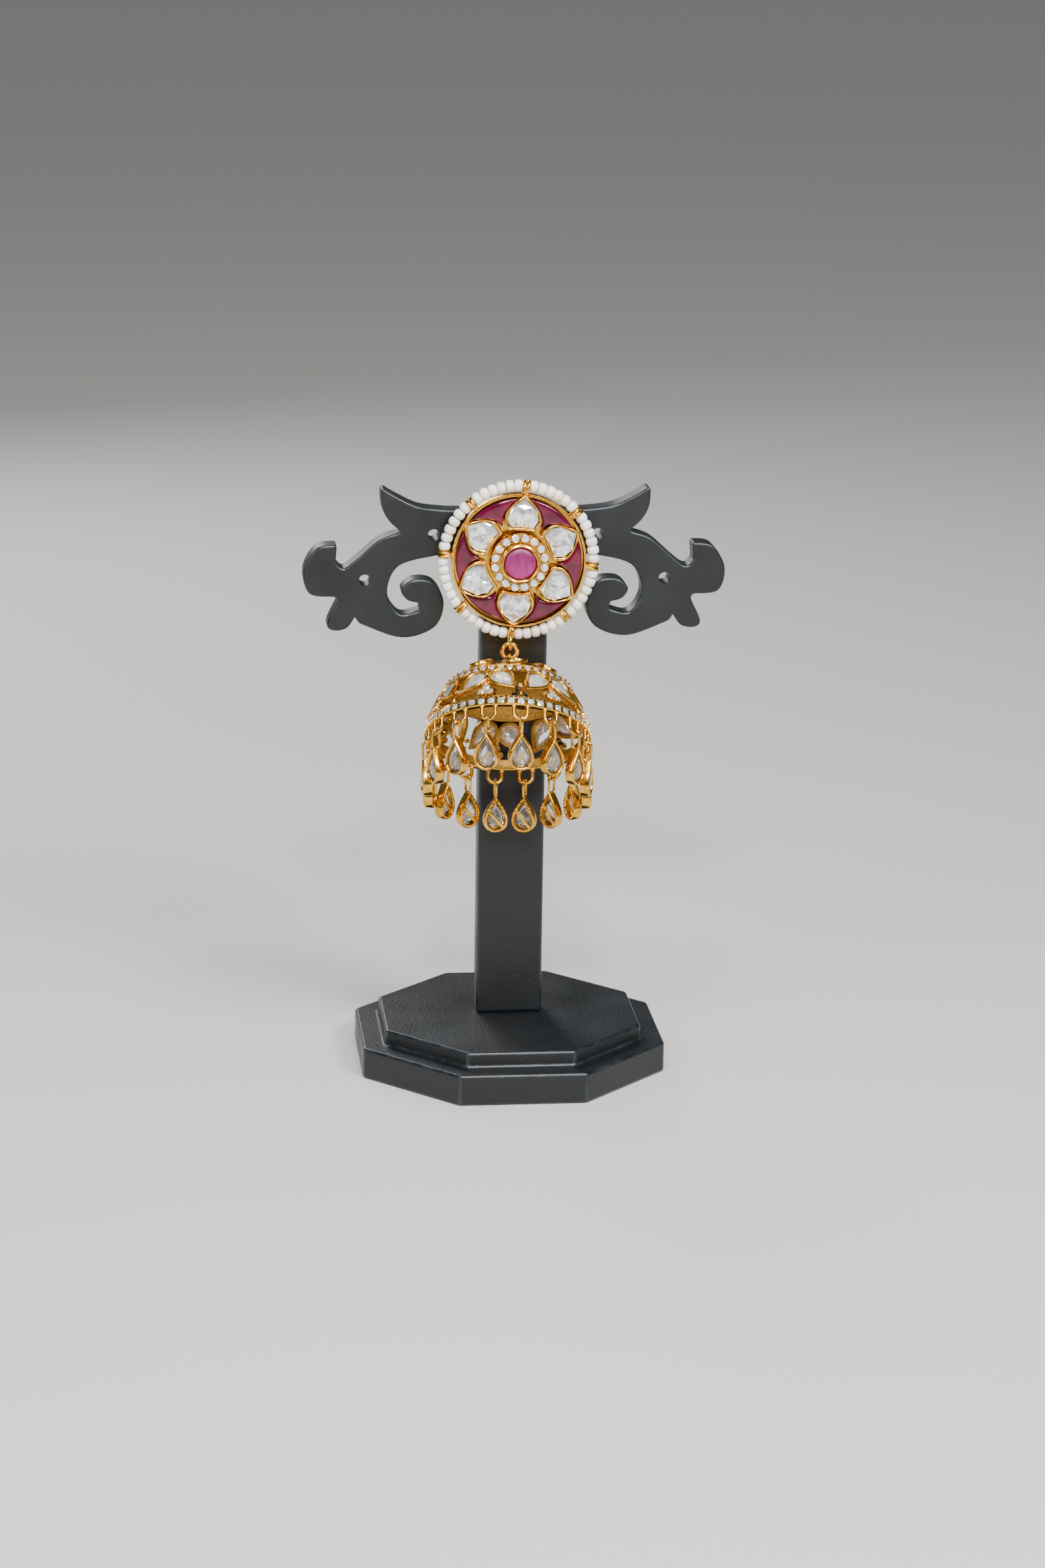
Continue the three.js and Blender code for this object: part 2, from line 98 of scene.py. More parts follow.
# ---- Stand foot ----
# An octagonal foot in two steps, moulded in black ABS with a fine matt grain. Its edges
# are soft, and the gate of the mould left a small chip at the front of the lower edge.
MM = 0.001
STEP_WIDTH = 46.6
STEP_HEIGHT = 2.75
FOOT_EDGE = 0.6
CHIP_RADIUS = 0.55
CHIP_OFFSET = 1.6
GRAIN_SIZE = 0.35
WEAR_SIZE = 2.5


def corners(node):
    low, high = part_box(node)
    return low / MM, high / MM


def fresh():
    """Leaves nothing selected, before a new primitive is added."""
    bpy.ops.object.select_all(action="DESELECT")


def edit(piece):
    """Opens a piece in edit mode, with faces to pick."""
    fresh()
    piece.select_set(True)
    bpy.context.view_layer.objects.active = piece
    bpy.ops.object.mode_set(mode="EDIT")
    bpy.ops.mesh.select_mode(type="FACE")


def pick(piece, test):
    """Selects the faces that pass a test, of a piece in edit mode."""
    bpy.ops.mesh.select_all(action="DESELECT")
    shape = bmesh.from_edit_mesh(piece.data)
    for face in shape.faces:
        if test(face):
            face.select_set(True)
    bmesh.update_edit_mesh(piece.data)


def close(name=None):
    """Leaves edit mode and names the piece."""
    bpy.ops.object.mode_set(mode="OBJECT")
    piece = bpy.context.object
    if name:
        piece.name = name
    return piece


def shaped(piece, kind, **settings):
    """Adds a modifier with its settings and applies it."""
    fresh()
    piece.select_set(True)
    bpy.context.view_layer.objects.active = piece
    modifier = piece.modifiers.new(kind.lower(), kind)
    for setting, value in settings.items():
        setattr(modifier, setting, value)
    bpy.ops.object.modifier_apply(modifier=modifier.name)
    return piece


def rounded(piece, width, segments=3, angle=35):
    """Rounds every edge that is sharper than the angle."""
    limit = math.radians(angle)
    settings = {"width": width, "segments": segments, "angle_limit": limit}
    return shaped(piece, "BEVEL", use_clamp_overlap=True, **settings)


def smooth(piece, angle=40):
    fresh()
    piece.select_set(True)
    bpy.context.view_layer.objects.active = piece
    bpy.ops.object.shade_smooth_by_angle(angle=math.radians(angle))
    return piece


def settle(piece, place=Matrix()):
    """Gives a piece its place, and turns its millimetres to metres."""
    piece.data.transform(place @ Matrix.Scale(MM, 4))
    piece.data.update()
    return piece


def colour(code):
    """Turns an sRGB hex value to linear colour."""
    values = [int(code[i:i + 2], 16) / 255 for i in (1, 3, 5)]
    linear = [v / 12.92 if v <= 0.04045 else ((v + 0.055) / 1.055) ** 2.4 for v in values]
    return (*linear, 1)


def add(tree, kind, settings=None, **inputs):
    """Adds a node, with its settings and with each input's value or link."""
    node = tree.nodes.new(kind)
    for setting, value in (settings or {}).items():
        setattr(node, setting, value)
    for name, value in inputs.items():
        socket = node.inputs[int(name[1:])] if name[0] == "_" else node.inputs[name.replace("_", " ")]
        if isinstance(value, bpy.types.NodeSocket):
            tree.links.new(value, socket)
        else:
            socket.default_value = value
    return node


def new_material(name):
    """A new material, as its name, its tree and its object coordinates."""
    material = bpy.data.materials.new(name)
    material.use_nodes = True
    tree = material.node_tree
    tree.nodes.clear()
    place = add(tree, "ShaderNodeTexCoord").outputs["Object"]
    return material, tree, place


def output(tree, shader):
    add(tree, "ShaderNodeOutputMaterial", Surface=shader.outputs["BSDF"])


def ramp(tree, factor, *stops):
    """A colour ramp through stops of position and colour."""
    node = add(tree, "ShaderNodeValToRGB", Fac=factor)
    band = node.color_ramp
    while len(band.elements) < len(stops):
        band.elements.new(0.5)
    for element, (position, code) in zip(band.elements, stops):
        element.position = position
        element.color = colour(code)
    return node.outputs["Color"]


def level(tree, factor, low, high, start=0.0, end=1.0):
    """Maps a factor onto a range of values."""
    node = add(tree, "ShaderNodeMapRange", Value=factor)
    for name, value in (("From Min", start), ("From Max", end), ("To Min", low), ("To Max", high)):
        node.inputs[name].default_value = value
    return node.outputs["Result"]


# Black ABS, moulded against a finely sparked steel: a satin sheen over a pebbled grain.
# The grain is drawn about twice its real size, so that it shows.
abs_black, tree, place = new_material("moulded black ABS")
grain = add(tree, "ShaderNodeTexVoronoi", Vector=place, Scale=1 / (GRAIN_SIZE * MM))
cloud = add(tree, "ShaderNodeTexNoise", Vector=place, Scale=1 / (WEAR_SIZE * MM * 4), Detail=4.0)
tone = ramp(tree, cloud.outputs["Fac"], (0.35, "#05080b"), (0.7, "#090e12"))
shine = level(tree, cloud.outputs["Fac"], 0.36, 0.5, 0.3, 0.7)
pebble = add(tree, "ShaderNodeBump", Height=grain.outputs["Distance"], Strength=0.55, Distance=0.07 * MM)
shader = add(
    tree, "ShaderNodeBsdfPrincipled", Base_Color=tone, Roughness=shine,
    Normal=pebble.outputs["Normal"], IOR=1.53,
)
output(tree, shader)

# The same plastic where handling has rubbed the grain off the rounded edges.
abs_edge, tree, place = new_material("rubbed edge of black ABS")
rub = add(tree, "ShaderNodeTexNoise", Vector=place, Scale=1 / (WEAR_SIZE * MM), Detail=3.0)
tone = ramp(tree, rub.outputs["Fac"], (0.35, "#0c1216"), (0.7, "#202a31"))
shine = level(tree, rub.outputs["Fac"], 0.24, 0.38, 0.3, 0.7)
output(tree, add(tree, "ShaderNodeBsdfPrincipled", Base_Color=tone, Roughness=shine, IOR=1.53))


def in_black(piece, flats):
    """Gives a piece the black plastic, rubbed on the faces that lean away from all its flats."""
    piece.data.materials.clear()
    piece.data.materials.append(abs_black)
    piece.data.materials.append(abs_edge)
    for face in piece.data.polygons:
        if max(abs(face.normal.dot(flat)) for flat in flats) < 0.97:
            face.material_index = 1
    return piece


low, high = corners("stand_base")
foot_width = high.x - low.x
foot_height = high.z - STEP_HEIGHT
fresh()
bpy.ops.mesh.primitive_cylinder_add(
    vertices=8, radius=foot_width / 2 / math.cos(math.pi / 8), depth=foot_height,
    location=(0, 0, foot_height / 2), rotation=(0, 0, math.pi / 8),
)
bpy.ops.object.transform_apply(location=True, rotation=True)
foot = bpy.context.object
edit(foot)
pick(foot, lambda face: face.normal.z > 0.9)
bpy.ops.mesh.inset(thickness=(foot_width - STEP_WIDTH) / 2, use_even_offset=True)
bpy.ops.mesh.extrude_region_move(TRANSFORM_OT_translate={"value": (0, 0, STEP_HEIGHT)})
foot = close("foot")
fresh()
bpy.ops.mesh.primitive_uv_sphere_add(
    segments=12, ring_count=8, radius=CHIP_RADIUS, location=(CHIP_OFFSET, low.y - 0.1, 0.1),
)
chip = bpy.context.object
rounded(foot, FOOT_EDGE, 4, 20)
shaped(foot, "BOOLEAN", operation="DIFFERENCE", object=chip, solver="EXACT")
bpy.data.objects.remove(chip)
shaped(smooth(settle(foot), 30), "WEIGHTED_NORMAL", keep_sharp=True)
in_black(foot, [turn(45 * i, "Z") @ Vector((1, 0, 0)) for i in range(4)] + [Vector((0, 0, 1))])
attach(foot, "root")
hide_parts("stand_base")


# ---- Upright ----
# A flat bar of the same moulded ABS. It stands in a slot of the foot and carries the
# crossbar, and it has softly rounded edges.
UPRIGHT_EDGE = 0.7

low, high = corners("stand_post")
fresh()
bpy.ops.mesh.primitive_cube_add(size=1, location=(low + high) / 2, scale=high - low)
bpy.ops.object.transform_apply(location=True, scale=True)
upright = bpy.context.object
edit(upright)
pick(upright, lambda face: abs(face.normal.z) > 0.9)
bpy.ops.transform.resize(value=(1, 1, 1.003), center_override=(low + high) / 2)
bpy.ops.mesh.select_all(action="SELECT")
upright = close("upright")
rounded(upright, UPRIGHT_EDGE, 4, 20)
shaped(smooth(settle(upright), 30), "WEIGHTED_NORMAL", keep_sharp=True)
in_black(upright, [Vector((1, 0, 0)), Vector((0, 1, 0)), Vector((0, 0, 1))])
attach(upright, "root")
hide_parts("stand_post")


# ---- Scrolled crossbar ----
# A flat moulded plate with a horn, an arm, a lobe and a curled scroll on each side, and
# holes for ear pins. The holes at its ends have a low raised lip.
BAR_EDGE = 0.45
BAR_CURVE_STEPS = 6
EAR_HOLE = 1.05
DRILL_LENGTH = 9
LIP_RADIUS = 1.5
LIP_WIRE = 0.22
# Each stretch of the right half is a smooth curve through its points of x and height
BAR_STRETCHES = (
    ((12.4, 102.5), (17.2, 103.1), (20.9, 104.8), (23.3, 106.2)),
    ((24, 105.6), (23.8, 102.9), (22.6, 100.6), (20.8, 98.9)),
    ((21.2, 98.3), (24.4, 97.1), (28.2, 93.8), (30.6, 92.1), (31.9, 93.2)),
    ((32, 96.3), (35.4, 95.7), (37.7, 91.6), (36.6, 87.5), (32.4, 86.9)),
    ((31.9, 85.6), (33.5, 82), (32.4, 80.8), (30, 81.2), (28.6, 83.1)),
    (
        (27.2, 81.8), (20.2, 79.4), (14.4, 81.2), (12.7, 85.6), (14.6, 89.4),
        (18.3, 89.9), (20.3, 88.1), (19.3, 86.3), (17.4, 85.7),
    ),
    ((17.3, 84.3), (20.6, 83.8), (22.8, 87.6), (20.8, 92.4), (14.1, 94.25)),
)
BAR_HOLES = ((-26.8, 89.9), (-14.6, 98), (0, 98.2), (14.6, 98), (26.8, 89.9))


def knots(points):
    """The points of a stretch, each with the handles that make it smooth."""
    found = []
    for before, point, after in zip(points[:1] + points, points, points[1:] + points[-1:]):
        reach = (Vector(after) - Vector(before)) / 6
        found.append((Vector(point) - reach, Vector(point), Vector(point) + reach))
    return found


half = [knot for stretch in BAR_STRETCHES for knot in knots(list(stretch))]
flip = Matrix(((-1, 0), (0, 1)))
other_half = [(flip @ after, flip @ point, flip @ before) for before, point, after in reversed(half)]
outline = half + other_half
low, high = corners("stand_crossbar")
thickness = high.y - low.y
fresh()
bpy.ops.curve.primitive_bezier_curve_add()
crossbar = bpy.context.object
rim = crossbar.data.splines[0]
rim.bezier_points.add(len(outline) - len(rim.bezier_points))
for knot, (before, point, after) in zip(rim.bezier_points, outline):
    knot.handle_left_type = "FREE"
    knot.handle_right_type = "FREE"
    knot.handle_left = (*before, 0)
    knot.co = (*point, 0)
    knot.handle_right = (*after, 0)
rim.use_cyclic_u = True
rim.resolution_u = BAR_CURVE_STEPS
crossbar.data.dimensions = "2D"
crossbar.data.fill_mode = "BOTH"
crossbar.data.offset = -BAR_EDGE
crossbar.data.extrude = thickness / 2 - BAR_EDGE
crossbar.data.bevel_depth = BAR_EDGE
crossbar.data.bevel_resolution = 3
bpy.ops.object.convert(target="MESH")
crossbar = bpy.context.object
crossbar.name = "crossbar"
edit(crossbar)
bpy.ops.mesh.select_all(action="SELECT")
bpy.ops.mesh.remove_doubles(threshold=0.001)
bpy.ops.mesh.normals_make_consistent()
close()
upended = turn(90, "X")
crossbar.data.transform(move(0, (low.y + high.y) / 2, 0) @ upended)
for x, z in BAR_HOLES:
    fresh()
    bpy.ops.mesh.primitive_cylinder_add(
        vertices=32, radius=EAR_HOLE, depth=DRILL_LENGTH, location=(x, 0, z),
        rotation=(math.pi / 2, 0, 0),
    )
    drill = bpy.context.object
    shaped(crossbar, "BOOLEAN", operation="DIFFERENCE", object=drill, solver="EXACT")
    bpy.data.objects.remove(drill)


def joined(name, pieces):
    """Joins pieces into one mesh."""
    fresh()
    for piece in pieces:
        piece.select_set(True)
    bpy.context.view_layer.objects.active = pieces[0]
    bpy.ops.object.join()
    pieces[0].name = name
    return pieces[0]


lips = []
for x, z in (BAR_HOLES[0], BAR_HOLES[-1]):
    fresh()
    bpy.ops.mesh.primitive_torus_add(
        location=(x, low.y + LIP_WIRE, z), rotation=(math.pi / 2, 0, 0),
        major_segments=40, minor_segments=10, major_radius=LIP_RADIUS - LIP_WIRE, minor_radius=LIP_WIRE,
    )
    bpy.ops.object.transform_apply(location=True, rotation=True)
    lips.append(bpy.context.object)
crossbar = joined("crossbar", [crossbar, *lips])
shaped(smooth(settle(crossbar), 30), "WEIGHTED_NORMAL", keep_sharp=True)
in_black(crossbar, [Vector((0, 1, 0))])
for face in crossbar.data.polygons:
    if abs(face.normal.y) < 0.1:
        face.material_index = 0
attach(crossbar, "root")
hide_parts("stand_crossbar")


# ---- Flower plate ----
# The back plate of the stud with its rim, the round collar in the middle and the tower
# that holds the centre stone, soldered and plated together, with the ear pin behind.
STUD_DEPTH = 5.5
PLATE_RADIUS = 12
RIM_INSIDE = 11.5
RIM_HEIGHT = 2.5
PAN_HEIGHT = 1
COLLAR_RADIUS = 5.25
COLLAR_HEIGHT = 3.7
TOWER_RADIUS = 3.47
TOWER_INSIDE = 2.85
TOWER_HEIGHT = 5.2
SEAT_HEIGHT = 3.4
PIN_RADIUS = 0.42
PIN_LENGTH = 9.4
POLE = 0.0005

# Bright gold plate over cast brass: almost a mirror, with faint waves from casting and
# polishing, and a redder tone where the polish is thin.
plated_gold, tree, place = new_material("polished gold plate")
waves = add(tree, "ShaderNodeTexNoise", Vector=place, Scale=1 / (1.1 * MM), Detail=3.0)
scuffs = add(tree, "ShaderNodeTexNoise", Vector=place, Scale=1 / (0.25 * MM), Detail=2.0)
tone = ramp(tree, waves.outputs["Fac"], (0.3, "#d2942f"), (0.55, "#edb746"), (0.8, "#f8d06a"))
shine = level(tree, scuffs.outputs["Fac"], 0.1, 0.24, 0.3, 0.7)
relief = add(tree, "ShaderNodeBump", Height=waves.outputs["Fac"], Strength=0.25, Distance=0.05 * MM)
shader = add(
    tree, "ShaderNodeBsdfPrincipled", Base_Color=tone, Metallic=1.0, Roughness=shine,
    Normal=relief.outputs["Normal"],
)
output(tree, shader)


def turned(name, profile, sides=48):
    """Turns a profile of radii and heights about the Z axis. A radius of POLE closes on the axis."""
    (radius, height) = profile[0]
    fresh()
    bpy.ops.mesh.primitive_circle_add(vertices=sides, radius=radius, location=(0, 0, height))
    bpy.ops.object.transform_apply(location=True)
    bpy.ops.object.mode_set(mode="EDIT")
    bpy.ops.mesh.select_mode(type="EDGE")
    bpy.ops.mesh.select_all(action="SELECT")
    for (last_radius, last_height), (radius, height) in zip(profile, profile[1:]):
        rise = {"value": (0, 0, height - last_height)}
        bpy.ops.mesh.extrude_region_move(TRANSFORM_OT_translate=rise)
        growth = radius / last_radius
        bpy.ops.transform.resize(value=(growth, growth, 1), center_override=(0, 0, height))
    bpy.ops.mesh.select_all(action="SELECT")
    bpy.ops.mesh.remove_doubles(threshold=POLE * 4)
    bpy.ops.mesh.normals_make_consistent()
    return close(name)


low, high = corners("ruby_center")
stud_middle = Vector(((low.x + high.x) / 2, low.y + STUD_DEPTH, (low.z + high.z) / 2))
stud_place = move(*(stud_middle * MM)) @ turn(90, "X")
pan = turned("flower_plate", (
    (POLE, 0), (PLATE_RADIUS - 0.25, 0), (PLATE_RADIUS, 0.25), (PLATE_RADIUS, RIM_HEIGHT - 0.25),
    (PLATE_RADIUS - 0.12, RIM_HEIGHT - 0.04), (PLATE_RADIUS - 0.25, RIM_HEIGHT),
    (RIM_INSIDE + 0.1, RIM_HEIGHT - 0.06), (RIM_INSIDE, RIM_HEIGHT - 0.25), (RIM_INSIDE, PAN_HEIGHT),
    (COLLAR_RADIUS, PAN_HEIGHT), (COLLAR_RADIUS, COLLAR_HEIGHT - 0.5),
    (COLLAR_RADIUS - 0.15, COLLAR_HEIGHT), (TOWER_RADIUS + 0.05, COLLAR_HEIGHT),
    (TOWER_RADIUS, TOWER_HEIGHT - 0.35), (TOWER_RADIUS - 0.12, TOWER_HEIGHT - 0.08),
    (TOWER_RADIUS - 0.3, TOWER_HEIGHT), (TOWER_INSIDE + 0.12, TOWER_HEIGHT - 0.08),
    (TOWER_INSIDE, TOWER_HEIGHT - 0.3), (TOWER_INSIDE, SEAT_HEIGHT), (POLE, SEAT_HEIGHT),
), 96)
low, high = corners("ear_nut")
pin_rise = (low.z + high.z) / 2 - stud_middle.z
root = PAN_HEIGHT / 2
point = root - PIN_LENGTH
pin = turned("ear_pin", (
    (POLE, root), (PIN_RADIUS, root), (PIN_RADIUS, point + 0.6), (PIN_RADIUS * 0.75, point + 0.5),
    (PIN_RADIUS, point + 0.35), (PIN_RADIUS * 0.5, point), (POLE, point),
), 20)
pin.data.transform(move(0, pin_rise, 0))
flower_plate = smooth(settle(joined("flower_plate", [pan, pin]), stud_place))
flower_plate.data.materials.append(plated_gold)
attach(flower_plate, "root")
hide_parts("stud_setting")


# ---- Petal bezels ----
# Six pointed petals of thin gold strip, stood on edge round each white stone and soldered
# to the plate. Their top edge is burnished over, so it is round and bright.
PETALS = 6
STUD_ROLL = -4.5
PETAL_TIP = 11.3
PETAL_SIDE = 2.9
PETAL_FOOT = 2.05
BEZEL_WALL = 0.48
BEZEL_HEIGHT = 2.9
BEZEL_FOOT = 0.6


def petal_outline(grow, steps=10):
    """Points round a petal with its tip on +Y and a hollow foot, made larger all round by grow."""
    tip = PETAL_TIP + grow * 1.3
    side = PETAL_SIDE + grow
    inner = COLLAR_RADIUS + 0.6 - grow
    foot = PETAL_FOOT + grow * 0.8
    right = ((foot, inner), (side * 1.14, inner + 1.5), (side * 1.22, inner + 3.5), (0, tip))
    right = interpolate_bezier(*[Vector(point).to_3d() for point in right], steps)
    left = [Vector((-point.x, point.y, 0)) for point in reversed(right)]
    heel = [Vector((x * foot, inner + 0.22 * (1 - x * x), 0)) for x in (-0.5, 0, 0.5)]
    return right + left[1:] + heel


def slab(name, outline, low, high):
    """A flat piece with an outline, between two heights."""
    fresh()
    bpy.ops.mesh.primitive_circle_add(vertices=len(outline), radius=1, fill_type="NGON")
    piece = bpy.context.object
    for corner, point in zip(piece.data.vertices, outline):
        corner.co = (point[0], point[1], low)
    edit(piece)
    bpy.ops.mesh.select_all(action="SELECT")
    bpy.ops.mesh.extrude_region_move(TRANSFORM_OT_translate={"value": (0, 0, high - low)})
    bpy.ops.mesh.select_all(action="SELECT")
    bpy.ops.mesh.normals_make_consistent()
    return close(name)


def lofted(name, rings):
    """Skins a piece through rings, each an outline of equally many points and a height.
    It ends on its first ring again, or with flat ends."""
    outline, height = rings[0]
    through = rings[-1] == rings[0]
    fill = "NOTHING" if through else "NGON"
    fresh()
    bpy.ops.mesh.primitive_circle_add(vertices=len(outline), radius=1, fill_type=fill)
    piece = bpy.context.object
    for corner, point in zip(piece.data.vertices, outline):
        corner.co = (point[0], point[1], height)
    edit(piece)
    bpy.ops.mesh.select_mode(type="EDGE")
    bpy.ops.mesh.select_all(action="SELECT")
    for next_outline, next_height in rings[1:]:
        bpy.ops.mesh.extrude_region_move()
        shape = bmesh.from_edit_mesh(piece.data)
        index = {tuple(round(v, 4) for v in point[:2]): i for i, point in enumerate(outline)}
        for corner in shape.verts:
            if corner.select:
                point = next_outline[index[tuple(round(v, 4) for v in corner.co[:2])]]
                corner.co = (point[0], point[1], next_height)
        bmesh.update_edit_mesh(piece.data)
        outline = next_outline
    bpy.ops.mesh.select_all(action="SELECT")
    bpy.ops.mesh.remove_doubles(threshold=0.0005)
    bpy.ops.mesh.normals_make_consistent()
    return close(name)


def copied(piece, place):
    """A copy with its own mesh, moved to its place."""
    copy = piece.copy()
    copy.data = piece.data.copy()
    copy.data.transform(place)
    bpy.context.scene.collection.objects.link(copy)
    return copy


def spread(name, piece, places):
    """Copies a piece to each place and joins the copies."""
    copies = [copied(piece, place) for place in places]
    bpy.data.objects.remove(piece)
    return joined(name, copies)


petal_turns = [turn(STUD_ROLL + i * 360 / PETALS, "Z") for i in range(PETALS)]
bezel_rings = (
    (BEZEL_WALL, BEZEL_FOOT), (BEZEL_WALL, BEZEL_HEIGHT - 0.2), (BEZEL_WALL - 0.06, BEZEL_HEIGHT - 0.07),
    (BEZEL_WALL - 0.17, BEZEL_HEIGHT), (0.15, BEZEL_HEIGHT - 0.02), (0.04, BEZEL_HEIGHT - 0.09),
    (0, BEZEL_HEIGHT - 0.22), (0, BEZEL_FOOT), (BEZEL_WALL, BEZEL_FOOT),
)
bezel = lofted("petal_bezels", [(petal_outline(grow), height) for grow, height in bezel_rings])
petal_bezels = smooth(settle(spread("petal_bezels", bezel, petal_turns), stud_place), 50)
petal_bezels.data.materials.append(plated_gold)
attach(petal_bezels, "root")
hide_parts("stud_setting")


# ---- White petal stones ----
# Six flat uncut clear stones with silver foil behind. Hand-ground facets of uneven size
# slope from a raised middle to a thin edge, and each mirrors the light its own way.
FACET_SEED = 7
FACET_SHIFT = 0.22
PETAL_STONE_LOW = 1.2
PETAL_STONE_EDGE = 2.4
PETAL_STONE_TOP = 2.85

# Clear quartz over silver foil: a bright grey-white mirror seen through polished stone.
foiled_stone, tree, place = new_material("foil-backed clear stone")
flaws = add(tree, "ShaderNodeTexNoise", Vector=place, Scale=1 / (0.9 * MM), Detail=2.0)
tone = ramp(tree, flaws.outputs["Fac"], (0.34, "#c3c9cc"), (0.5, "#eef1f2"), (0.66, "#ffffff"))
shader = add(
    tree, "ShaderNodeBsdfPrincipled", Base_Color=tone, Metallic=0.65, Roughness=0.05, Coat_Weight=1.0,
    Coat_Roughness=0.03, Coat_IOR=1.55,
)
output(tree, shader)

chance = random.Random(FACET_SEED)


def ground_stone(name, rings):
    """A stone with uneven flat facets between its edge and its raised middle."""
    stone = lofted(name, rings)
    edge = rings[1][1]
    top = rings[-1][1]
    edit(stone)
    pick(stone, lambda face: face.normal.z > 0.9 and len(face.verts) > 4)
    bpy.ops.mesh.poke()
    bpy.ops.mesh.select_all(action="SELECT")
    bpy.ops.mesh.quads_convert_to_tris()
    stone = close()
    for corner in stone.data.vertices:
        if corner.co.z > edge + 0.01:
            corner.co += Vector([chance.uniform(-FACET_SHIFT, FACET_SHIFT) for _ in range(3)])
            corner.co.z = min(corner.co.z, top)
    return stone


petal_steps = (
    (-0.06, PETAL_STONE_LOW), (-0.06, PETAL_STONE_EDGE), (-0.75, PETAL_STONE_TOP - 0.2),
    (-1.45, PETAL_STONE_TOP),
)
for i, petal_turn in enumerate(petal_turns):
    rings = [(petal_outline(shrink, 4), height) for shrink, height in petal_steps]
    stone = ground_stone(f"white_petal_{i + 1}", rings)
    settle(stone, stud_place @ petal_turn)
    stone.data.materials.append(foiled_stone)
    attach(stone, "root")
    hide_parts(f"petal_stone_{i + 1}")


# ---- Ruby pieces between the petals ----
# Six cabochons of ruby-pink glass, ground to fill the space between two petals and the
# rim, with a soft pillow of a top that carries one long highlight.
PILLOW_VOXEL = 0.11
PILLOW_ROUNDS = 60

# Ruby-pink glass over foil: a deep colour, a little uneven, under a fire-polished surface.
ruby_glass, tree, place = new_material("ruby-pink glass")
streaks = add(tree, "ShaderNodeTexNoise", Vector=place, Scale=1 / (2.2 * MM), Detail=1.0)
tone = ramp(tree, streaks.outputs["Fac"], (0.35, "#42001c"), (0.65, "#5e002a"))
shader = add(
    tree, "ShaderNodeBsdfPrincipled", Base_Color=tone, Roughness=0.06, IOR=1.5, Coat_Weight=0.15,
    Coat_Roughness=0.02, Coat_IOR=1.5,
)
output(tree, shader)

for i in range(1, PETALS + 1):
    source = frame["nodes"][f"ruby_segment_{i}"]
    pillow = source.copy()
    pillow.data = source.data.copy()
    pillow.parent = None
    bpy.context.scene.collection.objects.link(pillow)
    pillow.name = f"ruby_pillow_{i}"
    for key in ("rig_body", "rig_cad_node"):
        del pillow[key]
    pillow.data.transform(Matrix.Scale(1 / MM, 4) @ stud_place.inverted())
    edit(pillow)
    bpy.ops.mesh.select_all(action="SELECT")
    bpy.ops.mesh.remove_doubles(threshold=0.005)
    bpy.ops.mesh.dissolve_limited(angle_limit=0.02)
    close()
    shaped(pillow, "REMESH", mode="VOXEL", voxel_size=PILLOW_VOXEL)
    shaped(pillow, "SMOOTH", factor=0.5, iterations=PILLOW_ROUNDS)
    smooth(settle(pillow, stud_place), 180)
    pillow.data.materials.clear()
    pillow.data.materials.append(ruby_glass)
    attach(pillow, "root")
    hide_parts(f"ruby_segment_{i}")


# ---- Ring of small round stones ----
# Sixteen brilliant-cut stones round the tower. Each sits in a low cup between four gold
# prongs that it shares with its neighbours.
RING_STONES = 16
STONE_RING_RADIUS = 4.42
SMALL_STONE_RADIUS = 0.76
CUP_FOOT = 3
CUP_TOP = 3.95
CUP_RADIUS = 0.84
PRONG_RADIUS = 0.19
# Each step of the cut: its share of the radius, its height as a share of the radius, and its
# turn as a share of one facet
STONE_CUT = ((0.08, -0.7, 0), (1, 0, 0), (1, 0.1, 0), (0.85, 0.24, 0.5), (0.66, 0.32, 0))


def brilliant(name, radius, facets=8):
    """A round cut stone with its girdle at height 0, a flat table above and a point below."""
    rings = []
    for growth, height, spin in STONE_CUT:
        angles = [(i + spin) * 2 * math.pi / facets for i in range(facets)]
        outline = [Vector((math.cos(angle), math.sin(angle), 0)) * radius * growth for angle in angles]
        rings.append((outline, radius * height))
    stone = lofted(name, rings)
    edit(stone)
    bpy.ops.mesh.select_all(action="SELECT")
    bpy.ops.mesh.quads_convert_to_tris()
    return close()


ring_turns = [turn((i + 0.5) * 360 / RING_STONES, "Z") for i in range(RING_STONES)]
stone = brilliant("collar_stones", SMALL_STONE_RADIUS)
stone_places = [spot @ move(STONE_RING_RADIUS, 0, CUP_TOP + 0.05) for spot in ring_turns]
collar_stones = spread("collar_stones", stone, stone_places)
settle(collar_stones, stud_place)
collar_stones.data.materials.append(foiled_stone)
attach(collar_stones, "root")
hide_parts("stud_setting")

cup = turned("collar_cups", (
    (POLE, CUP_FOOT), (CUP_RADIUS, CUP_FOOT), (CUP_RADIUS, CUP_TOP - 0.2),
    (CUP_RADIUS - 0.04, CUP_TOP - 0.08), (CUP_RADIUS - 0.1, CUP_TOP - 0.1),
    (CUP_RADIUS - 0.12, CUP_TOP - 0.5), (POLE, CUP_TOP - 0.5),
), 16)
cups = spread("collar_cups", cup, [spot @ move(STONE_RING_RADIUS, 0, 0) for spot in ring_turns])


def bead_prong(name, radius, height, sides=8):
    """A gold prong with a round head, standing from height 0."""
    return turned(name, (
        (radius, 0), (radius, height - radius * 0.5), (radius * 0.8, height - radius * 0.12),
        (radius * 0.4, height), (POLE, height),
    ), sides)


prong_places = [
    turn(i * 360 / RING_STONES, "Z") @ move(STONE_RING_RADIUS + offset, 0, CUP_TOP - 0.4)
    for i in range(RING_STONES) for offset in (-0.55, 0.62)
]
prongs = spread("collar_prongs", bead_prong("collar_prongs", PRONG_RADIUS, 0.62), prong_places)
collar_cups = smooth(settle(joined("collar_cups", [cups, prongs]), stud_place))
collar_cups.data.materials.append(plated_gold)
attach(collar_cups, "root")
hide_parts("stud_setting")


